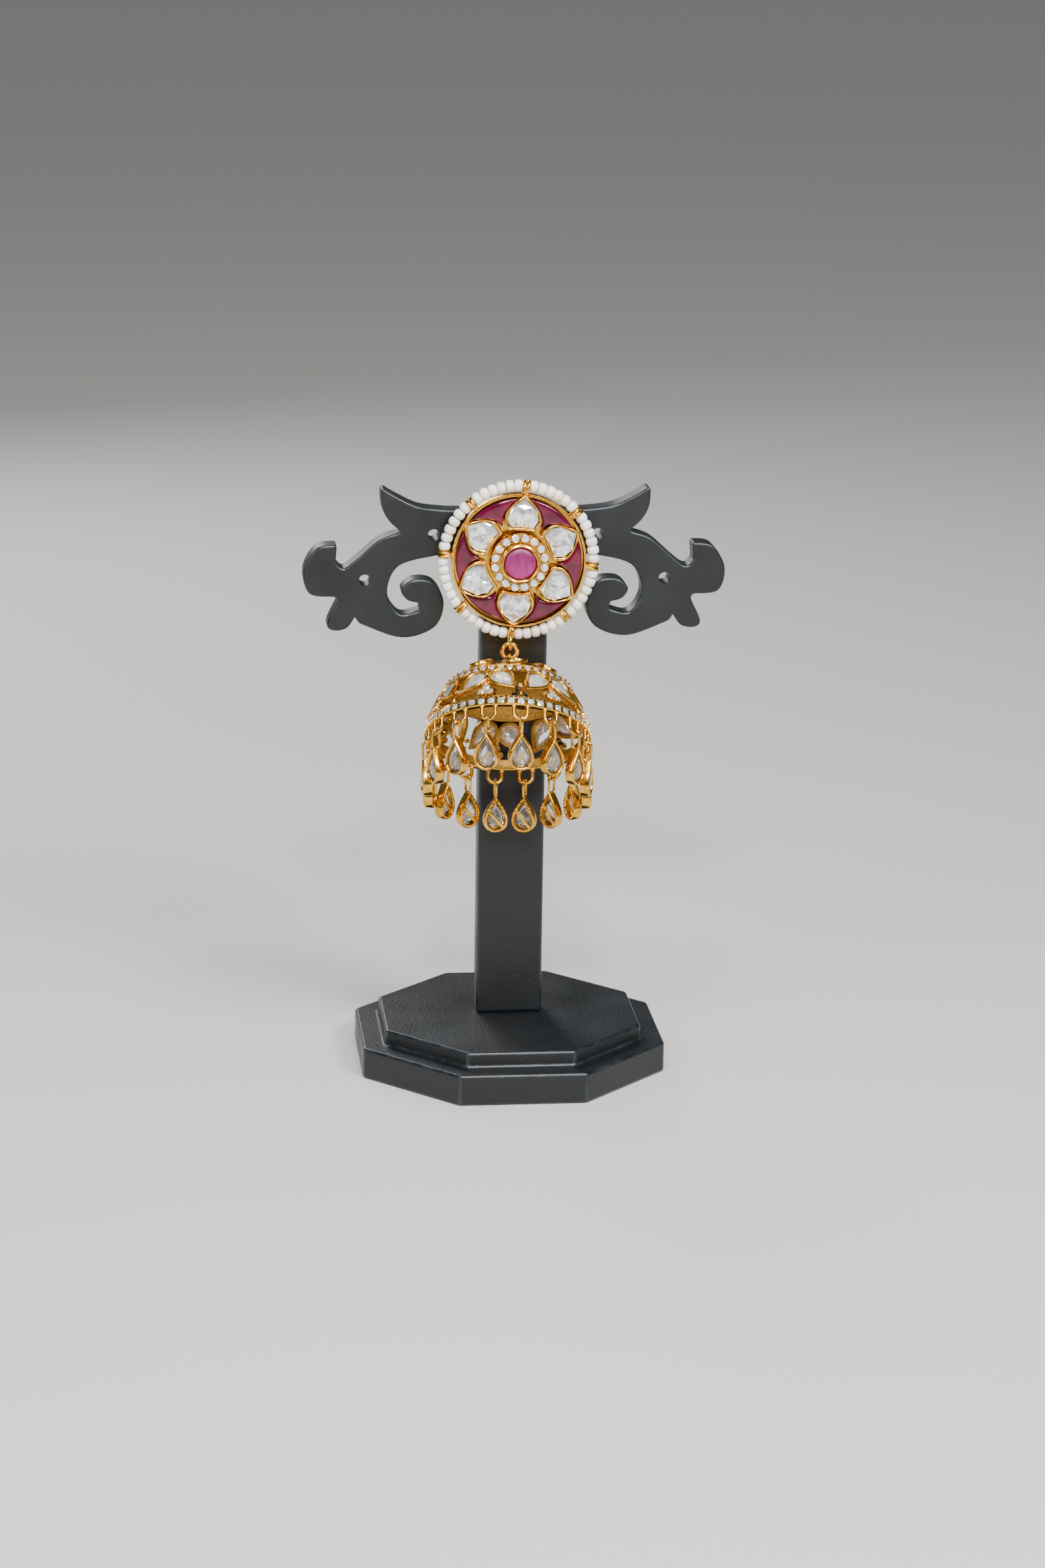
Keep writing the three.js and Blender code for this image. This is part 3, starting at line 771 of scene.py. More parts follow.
# ---- Centre stone ----
# A low dome of frosted ruby-pink glass, a little silky, with fine fibres that run up and
# down. Towards its lower edge it is painted pinker and lighter, as painted light for light shining
# through the glass.
CENTER_RADIUS = 2.75
CENTER_TOP = 5.4
FIBRE_WIDTH = 0.3
FIBRE_LENGTH = 3

# Acid-frosted magenta glass: a soft sheen with fine drawn fibres inside.
frosted_ruby, tree, place = new_material("frosted ruby glass")
fibre_scale = (1 / (FIBRE_WIDTH * MM), 1 / (FIBRE_WIDTH * MM), 1 / (FIBRE_LENGTH * MM))
stretch = add(tree, "ShaderNodeMapping", Vector=place, Scale=fibre_scale)
fibres = add(tree, "ShaderNodeTexNoise", Vector=stretch.outputs["Vector"], Scale=1.0, Detail=2.0)
height = add(tree, "ShaderNodeSeparateXYZ", Vector=place).outputs["Z"]
middle = stud_middle.z * MM
# Painted light: the lower part of the stone is painted paler and pinker by height, for light shining
# through the glass.
painted_glow_fall = level(tree, height, 1, 0, middle - 2.4 * MM, middle + 1.2 * MM)
deep = ramp(tree, fibres.outputs["Fac"], (0.35, "#5c063c"), (0.65, "#7c0c54"))
pale = ramp(tree, fibres.outputs["Fac"], (0.35, "#86105e"), (0.65, "#a41a78"))
skin = add(tree, "ShaderNodeMix", {"data_type": "RGBA"}, _0=painted_glow_fall, _6=deep, _7=pale)
shader = add(
    tree, "ShaderNodeBsdfPrincipled", Base_Color=skin.outputs[2], Roughness=0.38, IOR=1.5,
    Coat_Weight=0.25, Coat_Roughness=0.3,
)
output(tree, shader)

seat = SEAT_HEIGHT + 0.1
shoulder = TOWER_HEIGHT - 0.35
dome = [(POLE, seat), (CENTER_RADIUS, seat), (CENTER_RADIUS, shoulder)]
for step in range(1, 7):
    angle = step * math.pi / 12
    radius = max(POLE, CENTER_RADIUS * math.cos(angle))
    dome.append((radius, shoulder + (CENTER_TOP - shoulder) * math.sin(angle)))
center_stone = smooth(settle(turned("center_stone", dome, 64), stud_place), 60)
center_stone.data.materials.append(frosted_ruby)
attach(center_stone, "root")
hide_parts("ruby_center")


# ---- Seed beads ----
# Forty-eight opaque glass seed beads, strung side by side round the rim in eight groups.
# They are cut from drawn tube and tumbled, so each is a barrel of its own length and lean.
BEAD_RING_RADIUS = 13.4
BEAD_RADIUS = 1.08
BEAD_HOLE = 0.3
BEAD_PITCH = 1.56
BEADS_IN_GROUP = 6
BEAD_GROUPS = 8
BEAD_HEIGHT = 1.25
BEAD_SEED = 21

# Opaque off-white glass with a pearly glaze, slightly creamier from bead to bead.
bead_glass, tree, place = new_material("off-white seed bead glass")
tint = add(tree, "ShaderNodeTexNoise", Vector=place, Scale=1 / (3.1 * MM), Detail=0.0)
tone = ramp(tree, tint.outputs["Fac"], (0.35, "#e9e1d2"), (0.65, "#f7f4ee"))
shader = add(
    tree, "ShaderNodeBsdfPrincipled", Base_Color=tone, Roughness=0.24, IOR=1.5, Subsurface_Weight=0.15,
    Subsurface_Radius=(0.5 * MM, 0.4 * MM, 0.3 * MM), Subsurface_Scale=1.0, Coat_Weight=0.4,
    Coat_Roughness=0.08,
)
output(tree, shader)

low, high = corners("jump_ring")
ring_middle = (low + high) / 2
loop_turn = math.degrees(math.atan2(ring_middle.z - stud_middle.z, ring_middle.x - stud_middle.x))
length = BEAD_PITCH / 2
bead = turned("bead", (
    (BEAD_HOLE, length * 0.86), (BEAD_RADIUS * 0.62, length * 0.98),
    (BEAD_RADIUS * 0.86, length * 0.78), (BEAD_RADIUS * 0.98, length * 0.36), (BEAD_RADIUS, 0),
    (BEAD_RADIUS * 0.98, -length * 0.36), (BEAD_RADIUS * 0.86, -length * 0.78),
    (BEAD_RADIUS * 0.62, -length * 0.98), (BEAD_HOLE, -length * 0.86), (BEAD_HOLE, length * 0.86),
), 20)
bead.data.transform(turn(90, "X"))
chance = random.Random(BEAD_SEED)
step = math.degrees(BEAD_PITCH / BEAD_RING_RADIUS)
for group in range(BEAD_GROUPS):
    middle_turn = loop_turn + (group + 0.5) * 360 / BEAD_GROUPS
    places = []
    for i in range(BEADS_IN_GROUP):
        size = chance.uniform(0.94, 1.0)
        lean = turn(chance.uniform(-5, 5), "Z") @ turn(chance.uniform(-4, 4), "X")
        shape = Matrix.Diagonal((size, chance.uniform(0.94, 1.02), size, 1))
        spot = turn(middle_turn + (i - (BEADS_IN_GROUP - 1) / 2) * step, "Z")
        places.append(spot @ move(BEAD_RING_RADIUS - 0.02, 0, BEAD_HEIGHT) @ lean @ shape)
    beads = joined(f"seed_beads_{group + 1}", [copied(bead, spot) for spot in places])
    smooth(settle(beads, stud_place), 50)
    beads.data.materials.append(bead_glass)
    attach(beads, "root")
    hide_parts(f"bead_string_{group + 1}")
bpy.data.objects.remove(bead)


# ---- Wire wraps and hanging loop ----
# Eight turns of gold wire tie the thread of beads to the rim, and a closed loop of
# thicker wire below the rim carries the jump ring.
WRAP_RADIUS = 1.2
WRAP_WIRE = 0.3
WRAP_SPACING = 0.52
WRAP_LEAN = 7
LOOP_RADIUS = 1.3
LOOP_WIRE = 0.36


def wire_ring(name, radius, wire, sides=(36, 12), spin=(0, 0, 0)):
    """A closed ring of round wire about the origin, turned to stand across an axis."""
    fresh()
    bpy.ops.mesh.primitive_torus_add(
        major_segments=sides[0], minor_segments=sides[1], major_radius=radius, minor_radius=wire,
        rotation=spin,
    )
    bpy.ops.object.transform_apply(rotation=True)
    piece = bpy.context.object
    piece.name = name
    return piece


wrap = wire_ring("wraps", WRAP_RADIUS, WRAP_WIRE, (28, 10), (math.pi / 2, 0, 0))
wrap.data.transform(Matrix.Diagonal((1, 0.95, 0.95, 1)))
wrap_pair = [
    move(PLATE_RADIUS + 0.95, side * WRAP_SPACING / 2, BEAD_HEIGHT) @ turn(side * WRAP_LEAN, "Z")
    for side in (-1, 1)
]
wrap_places = [
    turn(loop_turn + i * 360 / BEAD_GROUPS, "Z") @ spot for i in range(BEAD_GROUPS) for spot in wrap_pair
]
wraps = spread("wraps", wrap, wrap_places)
settle(wraps, stud_place)
low, high = corners("stud_setting")
loop = wire_ring("hanging_loop", LOOP_RADIUS, LOOP_WIRE, (40, 14), (0, math.pi / 2, 0))
loop_middle = (ring_middle.x, ring_middle.y, low.z + LOOP_RADIUS + LOOP_WIRE)
settle(loop, move(*(Vector(loop_middle) * MM)))
wraps = smooth(joined("wire_wraps", [wraps, loop]), 60)
wraps.data.materials.append(plated_gold)
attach(wraps, "root")
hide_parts("stud_setting")


# ---- Ear nut ----
# A plain push-on nut behind the crossbar, turned from brass with a waist to grip it by.
NUT_HOLE = 0.6

low, high = corners("ear_nut")
nut_radius = (high.x - low.x) / 2
nut_length = high.y - low.y
nut = turned("push_nut", (
    (NUT_HOLE, 0), (nut_radius - 0.2, 0), (nut_radius, 0.2), (nut_radius, 0.7),
    (nut_radius - 0.25, 0.95), (nut_radius * 0.62, 1.4), (nut_radius * 0.6, 2.2),
    (nut_radius * 0.72, nut_length - 0.5), (nut_radius * 0.66, nut_length - 0.15),
    (nut_radius * 0.5, nut_length), (NUT_HOLE, nut_length), (NUT_HOLE, 0),
), 40)
nut_middle = ((low.x + high.x) / 2, low.y, (low.z + high.z) / 2)
smooth(settle(nut, move(*(Vector(nut_middle) * MM)) @ turn(-90, "X")))
nut.data.materials.append(plated_gold)
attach(nut, "root")
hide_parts("ear_nut")


# ---- Jump ring ----
# A ring of thick gold wire, bent round and closed with a hairline seam at one side.
SEAM = 0.06

low, high = corners("jump_ring")
ring_wire = (high.y - low.y) / 2
ring_radius = (high.x - low.x) / 2 - ring_wire
ring = wire_ring("split_ring", ring_radius, ring_wire, (64, 16), (math.pi / 2, 0, 0))
edit(ring)
bpy.ops.mesh.select_all(action="SELECT")
bpy.ops.mesh.bisect(plane_co=(0, 0, SEAM / 2), plane_no=(0, 0, 1), use_fill=False)
bpy.ops.mesh.select_all(action="SELECT")
bpy.ops.mesh.bisect(plane_co=(0, 0, -SEAM / 2), plane_no=(0, 0, 1), use_fill=False)
pick(ring, lambda face: face.calc_center_median().x > 0 and abs(face.calc_center_median().z) < SEAM / 2)
bpy.ops.mesh.delete(type="FACE")
bpy.ops.mesh.select_mode(type="EDGE")
bpy.ops.mesh.select_all(action="DESELECT")
bpy.ops.mesh.select_non_manifold(extend=False)
bpy.ops.mesh.edge_face_add()
ring = close("split_ring")
smooth(settle(ring, move(*(ring_middle * MM)) @ turn(35, "Y")), 50)
ring.data.materials.append(plated_gold)
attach(ring, "link")
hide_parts("jump_ring")


# ---- Bell crown and upper band ----
# The cast cap of the bell: a hanging loop, a small paved button, a dome pierced by seven
# drop-shaped openings and the upper band that carries a row of small stones.
BELL_TILT = 38.5
BELL_PHASE = 9.5
BELL_UNITS = 7
BELL_LOOP_RADIUS = 1.15
BELL_LOOP_WIRE = 0.3
WIRE_GAP = 0.08
UPPER_RADIUS = 11.4
UPPER_TOP = 6.25
UPPER_BOTTOM = 7.65
UPPER_SLOPE = 18
BAND_WALL = 1.1
OPENING_RING = 7.4
TIP_SHRINK = 2.6
PAVE_COUNT = 44
PAVE_RADIUS = 0.52
BUTTON_STONES = 14

# The unpolished inside of the casting: the same gold, brushed dull and finely pitted.
dull_gold, tree, place = new_material("dull gold inside the casting")
pits = add(tree, "ShaderNodeTexNoise", Vector=place, Scale=1 / (0.3 * MM), Detail=3.0)
tone = ramp(tree, pits.outputs["Fac"], (0.35, "#8f6423"), (0.65, "#c3964a"))
shine = level(tree, pits.outputs["Fac"], 0.3, 0.5, 0.3, 0.7)
relief = add(tree, "ShaderNodeBump", Height=pits.outputs["Fac"], Strength=0.5, Distance=0.08 * MM)
shader = add(
    tree, "ShaderNodeBsdfPrincipled", Base_Color=tone, Metallic=1.0, Roughness=shine,
    Normal=relief.outputs["Normal"],
)
output(tree, shader)

swings = {joint["name"]: joint for joint in frame["joints"]}
pivot = Vector(swings["bell_swing"]["pos_m"])
hinge = Vector(swings["bell_swing"]["axis"])
bell_turn = -math.degrees(math.atan2(hinge.y, -hinge.x))
bell_place = move(*pivot) @ turn(bell_turn, "Z") @ turn(-BELL_TILT, "X")


def pear(length, width, count=24):
    """Points round a pear outline, round about the origin and pointed at +Y."""
    radius = width / 2
    tip = length - radius
    right = ((radius, 0), (radius, tip * 0.32), (radius * 0.45, tip * 0.68), (0, tip))
    right = interpolate_bezier(*[Vector(point).to_3d() for point in right], count // 4 + 1)
    left = [Vector((-point.x, point.y, 0)) for point in reversed(right)]
    round_steps = count // 2
    angles = [math.pi * i / round_steps for i in range(1, round_steps)]
    heel = [Vector((-radius * math.cos(angle), -radius * math.sin(angle), 0)) for angle in angles]
    return right + left[1:] + heel


def on_wall(radius, depth, slope, angle):
    """The place of a piece drawn face up about its middle, on a wall of the bell."""
    return turn(angle, "Z") @ move(0, -radius, -depth) @ turn(90 - slope, "X")


def bell_angle(index, count):
    return BELL_PHASE + index * 360 / count


def inside_dull(piece):
    """Gives the faces that look at the bell's axis the dull gold of the casting's inside."""
    piece.data.materials.append(dull_gold)
    for face in piece.data.polygons:
        outward = Vector((face.center.x, face.center.y, 0)).normalized()
        if face.normal.dot(outward) < -0.35 or face.normal.z < -0.6:
            face.material_index = 1


upper_inside = UPPER_RADIUS - BAND_WALL
shoulder = UPPER_RADIUS - 0.45
upper_middle = (UPPER_TOP + UPPER_BOTTOM) / 2
unit_angles = [bell_angle(i, BELL_UNITS) for i in range(BELL_UNITS)]
dome = turned("bell_crown", (
    (POLE, -1.3), (1.6, -1.34), (2.4, -1.5), (3.0, -1.8), (3.1, -2.0), (3.05, -2.3), (3.4, -2.42),
    (5.3, -2.98), (7.4, -3.9), (9.2, -5.0), (10.4, -5.9), (shoulder - 0.1, -UPPER_TOP + 0.05),
    (shoulder, -UPPER_TOP - 0.1), (UPPER_RADIUS, -UPPER_BOTTOM + 0.12),
    (UPPER_RADIUS - 0.1, -UPPER_BOTTOM), (upper_inside + 0.1, -UPPER_BOTTOM),
    (upper_inside, -UPPER_BOTTOM + 0.1), (shoulder - BAND_WALL, -UPPER_TOP - 0.3), (8.4, -5.6),
    (6.9, -4.6), (4.6, -3.6), (2.4, -2.8), (POLE, -2.6),
), 84)
cutter = slab("opening", pear(5.2, 3.4, 32), -9, 0)
opening_places = [turn(angle, "Z") @ move(0, -OPENING_RING, 0) for angle in unit_angles]
openings = spread("openings", cutter, opening_places)
shaped(dome, "BOOLEAN", operation="DIFFERENCE", object=openings, solver="EXACT")
bpy.data.objects.remove(openings)
edging_profile = ((0, -0.3), (0, 0.1), (0.1, 0.24), (0.3, 0.24), (0.4, 0.1), (0.4, -0.3), (0, -0.3))
edging_rings = [
    (pear(6.0 - TIP_SHRINK * inward, 4.1 - 2 * inward, 32), height) for inward, height in edging_profile
]
edging_places = [on_wall(OPENING_RING + 0.2, 3.72, 64.5, angle) for angle in unit_angles]
edgings = spread("edgings", lofted("edging", edging_rings), edging_places)
loop = wire_ring("bell_loop", BELL_LOOP_RADIUS, BELL_LOOP_WIRE, (36, 12), (0, math.pi / 2, 0))
loop_top = ring_wire + WIRE_GAP + BELL_LOOP_WIRE
loop.data.transform(move(0, 0, loop_top - BELL_LOOP_RADIUS))
grain_places = [
    on_wall(UPPER_RADIUS - 0.28, upper_middle + rise, UPPER_SLOPE, bell_angle(i + 0.5, PAVE_COUNT))
    for i in range(PAVE_COUNT) for rise in (-0.42, 0.42)
]
grains = spread("grains", bead_prong("grains", 0.2, 0.32, 7), grain_places)
bell_crown = joined("bell_crown", [dome, edgings, loop, grains])
bell_crown.data.materials.append(plated_gold)
inside_dull(bell_crown)
smooth(settle(bell_crown, bell_place), 40)
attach(bell_crown, "bell")
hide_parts("bell_body")

spots = [
    on_wall(UPPER_RADIUS - 0.3, upper_middle, UPPER_SLOPE, bell_angle(i, PAVE_COUNT))
    for i in range(PAVE_COUNT)
]
spots += [on_wall(2.95, 1.9, 45, bell_angle(i, BUTTON_STONES)) for i in range(BUTTON_STONES)]
crown_stones = spread("crown_stones", brilliant("crown_stones", PAVE_RADIUS), spots)
settle(crown_stones, bell_place)
crown_stones.data.materials.append(foiled_stone)
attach(crown_stones, "bell")
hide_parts("bell_body")


# ---- Gallery of pear settings ----
# Seven pairs of pear settings stand between the bands with their points together on a
# short stem. Where neighbouring pairs meet, a strut carries a trefoil of small stones.
GALLERY_SLOPE = 27.8
GALLERY_DEPTH = 9.5
GALLERY_TURN = 15.6
GALLERY_LEAN = 142
PEAR_LENGTH = 6.75
PEAR_WIDTH = 4.5
STEM_DEPTH = 13.35
SPARK_DEPTH = 11.5
TREFOIL_DEPTH = 12.5
TREFOIL_REACH = 0.82
CLAWS = (
    (60, 0.85), (180, 0.85), (300, 0.85), (30, 1.3), (330, 1.3), (90, 1.28), (150, 1.3), (210, 1.3),
    (270, 1.28),
)
SPARK_RADIUS = 0.36
STONE_RISE = 0.5
STONE_FALL = 0.7


def gallery(depth, angle, out=0.0):
    """The place of a piece drawn face up about its middle, in the gallery's leaning wall."""
    slope = math.tan(math.radians(GALLERY_SLOPE))
    radius = UPPER_RADIUS + (depth - UPPER_BOTTOM) * slope - BAND_WALL / 2
    return on_wall(radius, depth, GALLERY_SLOPE, angle) @ move(0, 0, out)


def setting(name, length, width, low, high):
    """A polished pear bezel, open right through, with a wide rounded lip in front."""
    profile = (
        (0.05, low + 0.06), (0, low + 0.18), (0, high - 0.42), (0.05, high - 0.2),
        (0.16, high - 0.06), (0.3, high), (0.44, high - 0.03), (0.53, high - 0.14),
        (0.56, high - 0.3), (0.56, low + 0.08), (0.5, low), (0.12, low), (0.05, low + 0.06),
    )
    return lofted(name, [
        (pear(length - TIP_SHRINK * inward, width - 2 * inward, 44), height) for inward, height in profile
    ])


def pear_stone(name, length, width):
    """A cut stone for a pear setting: a stepped crown with a flat table, and a keel below."""
    fresh()
    length, width = length - 1.3, width - 1.0
    outline = pear(length, width, 16)
    bpy.ops.mesh.primitive_circle_add(vertices=len(outline), radius=1, fill_type="NGON")
    stone = bpy.context.object
    for corner, point in zip(stone.data.vertices, outline):
        corner.co = point
    edit(stone)
    bpy.ops.mesh.select_all(action="SELECT")
    middle = (0, (length - width) * 0.2, 0)
    for up, growth in ((0.08, 1), (STONE_RISE * 0.55, 0.78), (STONE_RISE * 0.4, 0.72)):
        bpy.ops.mesh.extrude_region_move(TRANSFORM_OT_translate={"value": (0, 0, up)})
        bpy.ops.transform.resize(value=(growth, growth, 1), center_override=middle)
    pick(stone, lambda face: face.normal.z < -0.9)
    for down, growth in ((-STONE_FALL * 0.6, 0.62), (-STONE_FALL * 0.4, 0.3)):
        bpy.ops.mesh.extrude_region_move(TRANSFORM_OT_translate={"value": (0, 0, down)})
        bpy.ops.transform.resize(value=(growth, growth, 1), center_override=middle)
    bpy.ops.mesh.select_all(action="SELECT")
    bpy.ops.mesh.quads_convert_to_tris()
    bpy.ops.mesh.normals_make_consistent()
    return close(name)


pair_places = [
    gallery(GALLERY_DEPTH, angle + side * GALLERY_TURN, 0.1) @ turn(side * GALLERY_LEAN, "Z")
    for angle in unit_angles for side in (-1, 1)
]
bezels = spread("bezels", setting("bezels", PEAR_LENGTH, PEAR_WIDTH, -0.65, 0.75), pair_places)
stem = turned("stem", (
    (POLE, -1.0), (0.34, -1.0), (0.26, -0.55), (0.3, -0.4), (0.46, -0.2), (0.5, 0), (0.46, 0.2),
    (0.3, 0.4), (0.26, 0.55), (0.3, 1.1), (POLE, 1.1),
), 14)
stem.data.transform(turn(90, "X"))
stems = spread("stems", stem, [gallery(STEM_DEPTH, angle, 0.15) for angle in unit_angles])
spark_cup = turned("spark_cup", (
    (POLE, -0.5), (0.42, -0.5), (0.5, 0.12), (0.44, 0.22), (0.36, 0.16), (0.34, -0.1), (POLE, -0.1),
), 14)
spark_places = [gallery(SPARK_DEPTH, angle, 0.3) for angle in unit_angles]
spark_cups = spread("spark_cups", spark_cup, spark_places)
fresh()
bpy.ops.mesh.primitive_cube_add(size=1, location=(0, 1.2, -0.1), scale=(0.75, 5.4, 0.7))
bpy.ops.object.transform_apply(location=True, scale=True)
strut = rounded(bpy.context.object, 0.2, 2)
strut_places = [gallery(TREFOIL_DEPTH, bell_angle(i + 0.5, BELL_UNITS)) for i in range(BELL_UNITS)]
struts = spread("struts", strut, strut_places)
trefoil_spots = [turn(angle, "Z") @ move(0, TREFOIL_REACH, 0.3) for angle in (0, 120, 240)]
trefoil_cup = turned("trefoil_cup", (
    (POLE, -0.85), (0.55, -0.85), (0.82, -0.05), (0.78, 0.06), (0.7, 0.02), (0.66, -0.3), (POLE, -0.3),
), 14)
trefoil_places = [middle @ spot for middle in strut_places for spot in trefoil_spots]
trefoils = spread("trefoils", trefoil_cup, trefoil_places)
claw_spots = [turn(angle, "Z") @ move(0, reach, -0.15) for angle, reach in CLAWS]
claw_places = [middle @ spot for middle in strut_places for spot in claw_spots]
claws = spread("claws", bead_prong("claws", 0.2, 0.75, 7), claw_places)
bell_gallery = joined("bell_gallery", [bezels, stems, spark_cups, struts, trefoils, claws])
bell_gallery.data.materials.append(plated_gold)
inside_dull(bell_gallery)
smooth(settle(bell_gallery, bell_place), 40)
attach(bell_gallery, "bell")
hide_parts("bell_body")

gallery_pear = pear_stone("gallery_pears", PEAR_LENGTH, PEAR_WIDTH)
gallery_pears = spread("gallery_pears", gallery_pear, [spot @ move(0, 0, 0.1) for spot in pair_places])
spark_stone_places = [spot @ move(0, 0, 0.14) for spot in spark_places]
sparks = spread("sparks", brilliant("sparks", SPARK_RADIUS), spark_stone_places)
trefoil_stones = spread("trefoil_stones", brilliant("trefoil_stones", 0.7), trefoil_places)
gallery_stones = joined("gallery_stones", [gallery_pears, sparks, trefoil_stones])
settle(gallery_stones, bell_place)
gallery_stones.data.materials.append(foiled_stone)
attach(gallery_stones, "bell")
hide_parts("bell_body")


# ---- Lower band and its loops ----
# The wide hoop at the bell's mouth, paved with large stones and pairs of small ones, and
# the sixteen thick wire loops below it that carry the drops.
LOWER_RADIUS = 14.7
LOWER_TOP = 13.9
LOWER_BOTTOM = 15.7
LOWER_SLOPE = 9.5
LARGE_COUNT = 52
LARGE_RADIUS = 0.68
LOOPS = 16
LOOP_RING = 14.2
HOOP_RADIUS = 1.2
HOOP_WIRE = 0.33
HOOP_BOTTOM = 18.15
HOOP_TOP = 15.2

lip = LOWER_RADIUS - 0.3
band = turned("lower_band", (
    (lip - 0.1, -LOWER_TOP + 0.1), (lip, -LOWER_TOP - 0.02), (LOWER_RADIUS, -LOWER_BOTTOM + 0.15),
    (LOWER_RADIUS - 0.12, -LOWER_BOTTOM), (LOWER_RADIUS - BAND_WALL + 0.12, -LOWER_BOTTOM),
    (LOWER_RADIUS - BAND_WALL, -LOWER_BOTTOM + 0.12), (lip - BAND_WALL, -LOWER_TOP - 0.02),
    (lip - BAND_WALL + 0.1, -LOWER_TOP + 0.1), (lip - 0.1, -LOWER_TOP + 0.1),
), 96)
hoop = wire_ring("hoop", HOOP_RADIUS, HOOP_WIRE, (28, 12), (math.pi / 2, 0, 0))
edit(hoop)
pick(hoop, lambda face: face.calc_center_median().z > 0)
bpy.ops.mesh.delete(type="FACE")
bpy.ops.mesh.select_mode(type="EDGE")
bpy.ops.mesh.select_all(action="DESELECT")
bpy.ops.mesh.select_non_manifold(extend=False)
leg = HOOP_BOTTOM - HOOP_RADIUS - HOOP_TOP
bpy.ops.mesh.extrude_region_move(TRANSFORM_OT_translate={"value": (0, 0, leg)})
bpy.ops.mesh.select_all(action="SELECT")
bpy.ops.mesh.fill_holes(sides=0)
bpy.ops.mesh.normals_make_consistent()
hoop = close("hoop")
hoop_middle = move(0, -LOOP_RING, HOOP_RADIUS - HOOP_BOTTOM)
hoop_places = [turn(bell_angle(i, LOOPS), "Z") @ hoop_middle for i in range(LOOPS)]
hoops = spread("hoops", hoop, hoop_places)
collar_bead = bead_prong("collar_beads", 0.42, 0.5, 10)
collar_bead.data.transform(turn(180, "X"))
collar_rise = HOOP_BOTTOM - HOOP_RADIUS - LOWER_BOTTOM + 0.1
collar_places = [
    spot @ move(side * HOOP_RADIUS, 0, collar_rise) for spot in hoop_places for side in (-1, 1)
]
collar_beads = spread("collar_beads", collar_bead, collar_places)


def paved(depth, index):
    """The place of a stone or grain set in the lower band's face, counted in large stones."""
    radius = LOWER_RADIUS - 0.3 + 0.3 * (depth - LOWER_TOP) / (LOWER_BOTTOM - LOWER_TOP) - 0.12
    return on_wall(radius, depth, LOWER_SLOPE, bell_angle(index, LARGE_COUNT))


grain_spots = ((14.12, 0.28), (15.42, 0.28), (14.12, -0.28), (15.42, -0.28))
grain_places = [paved(depth, i + offset) for i in range(LARGE_COUNT) for depth, offset in grain_spots]
grains = spread("grains", bead_prong("grains", 0.15, 0.3, 6), grain_places)
lower_band = joined("lower_band", [band, hoops, collar_beads, grains])
lower_band.data.materials.append(plated_gold)
lower_band.data.materials.append(dull_gold)
for face in lower_band.data.polygons:
    outward = Vector((face.center.x, face.center.y, 0)).normalized()
    if face.normal.dot(outward) < -0.8 and face.center.z > -LOWER_BOTTOM:
        face.material_index = 1
smooth(settle(lower_band, bell_place), 40)
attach(lower_band, "bell")
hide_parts("bell_body")

large = spread("large", brilliant("large", LARGE_RADIUS), [paved(14.82, i) for i in range(LARGE_COUNT)])
small_places = [paved(depth, i + 0.5) for i in range(LARGE_COUNT) for depth in (14.42, 15.2)]
small = spread("small", brilliant("small", SPARK_RADIUS), small_places)
band_stones = joined("band_stones", [large, small])
settle(band_stones, bell_place)
band_stones.data.materials.append(foiled_stone)
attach(band_stones, "bell")
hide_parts("bell_body")


# ---- Drops ----
# Sixteen pear drops in polished gold bezels. Each hangs plumb from its loop on a long
# bail, faces outwards, and is open behind with ribs and one slanting bar.
BAIL_WIRE = 0.24
BAIL_RADIUS = 0.72
BAIL_LENGTH = 3.3
DROP_LENGTH = 6.8
DROP_WIDTH = 4.5
DROP_DEPTH = 1.7
BAR_LEAN = 50

# Cut and polished cubic zirconia, open behind, so that its facets throw light back and
# what lies behind it shows through.
clear_stone, tree, place = new_material("cut cubic zirconia")
veil = add(tree, "ShaderNodeTexNoise", Vector=place, Scale=1 / (1.3 * MM), Detail=1.0)
tone = ramp(tree, veil.outputs["Fac"], (0.3, "#e6e9e8"), (0.7, "#ffffff"))
shader = add(
    tree, "ShaderNodeBsdfPrincipled", Base_Color=tone, Roughness=0.02, IOR=2.15,
    Transmission_Weight=0.94,
)
output(tree, shader)

drop_top = HOOP_WIRE + WIRE_GAP + BAIL_WIRE
drop_tip = drop_top - BAIL_LENGTH + 0.35
drop_middle = drop_tip - (DROP_LENGTH - DROP_WIDTH / 2)
facing = move(0, 0, drop_middle) @ turn(90, "X")
bail = wire_ring("bail", BAIL_RADIUS, BAIL_WIRE, (24, 10), (0, math.pi / 2, 0))
reach = BAIL_LENGTH / 2 - BAIL_RADIUS
for corner in bail.data.vertices:
    corner.co.z += math.copysign(reach, corner.co.z) if abs(corner.co.z) > 0.05 else 0
bail.data.transform(move(0, 0, drop_top - BAIL_LENGTH / 2))
frame_ring = setting("drop_frame", DROP_LENGTH, DROP_WIDTH, -DROP_DEPTH / 2, DROP_DEPTH / 2)
edit(frame_ring)
pick(frame_ring, lambda face: face.normal.z < -0.99 and face.calc_area() > 0.05)
shape = bmesh.from_edit_mesh(frame_ring.data)
back = [face for face in shape.faces if face.select]
back.sort(key=lambda face: math.atan2(*face.calc_center_median().xy))
for face in back[::2]:
    face.select_set(False)
bmesh.update_edit_mesh(frame_ring.data)
bpy.ops.mesh.inset(thickness=0.05, depth=-0.14, use_individual=True)
close()
fresh()
bpy.ops.mesh.primitive_cube_add(
    size=1, location=(0, 0.25, -DROP_DEPTH / 2 + 0.28), rotation=(0, 0, math.radians(BAR_LEAN)),
    scale=(DROP_WIDTH - 0.5, 0.6, 0.4),
)
bpy.ops.object.transform_apply(location=True, rotation=True, scale=True)
bar = rounded(bpy.context.object, 0.12, 2)
frame_ring = joined("drop_frame", [frame_ring, bar])
frame_ring.data.transform(facing)
drop_model = smooth(joined("drop_model", [frame_ring, bail]), 45)
drop_model.data.materials.append(plated_gold)
gem_model = pear_stone("gem_model", DROP_LENGTH, DROP_WIDTH)
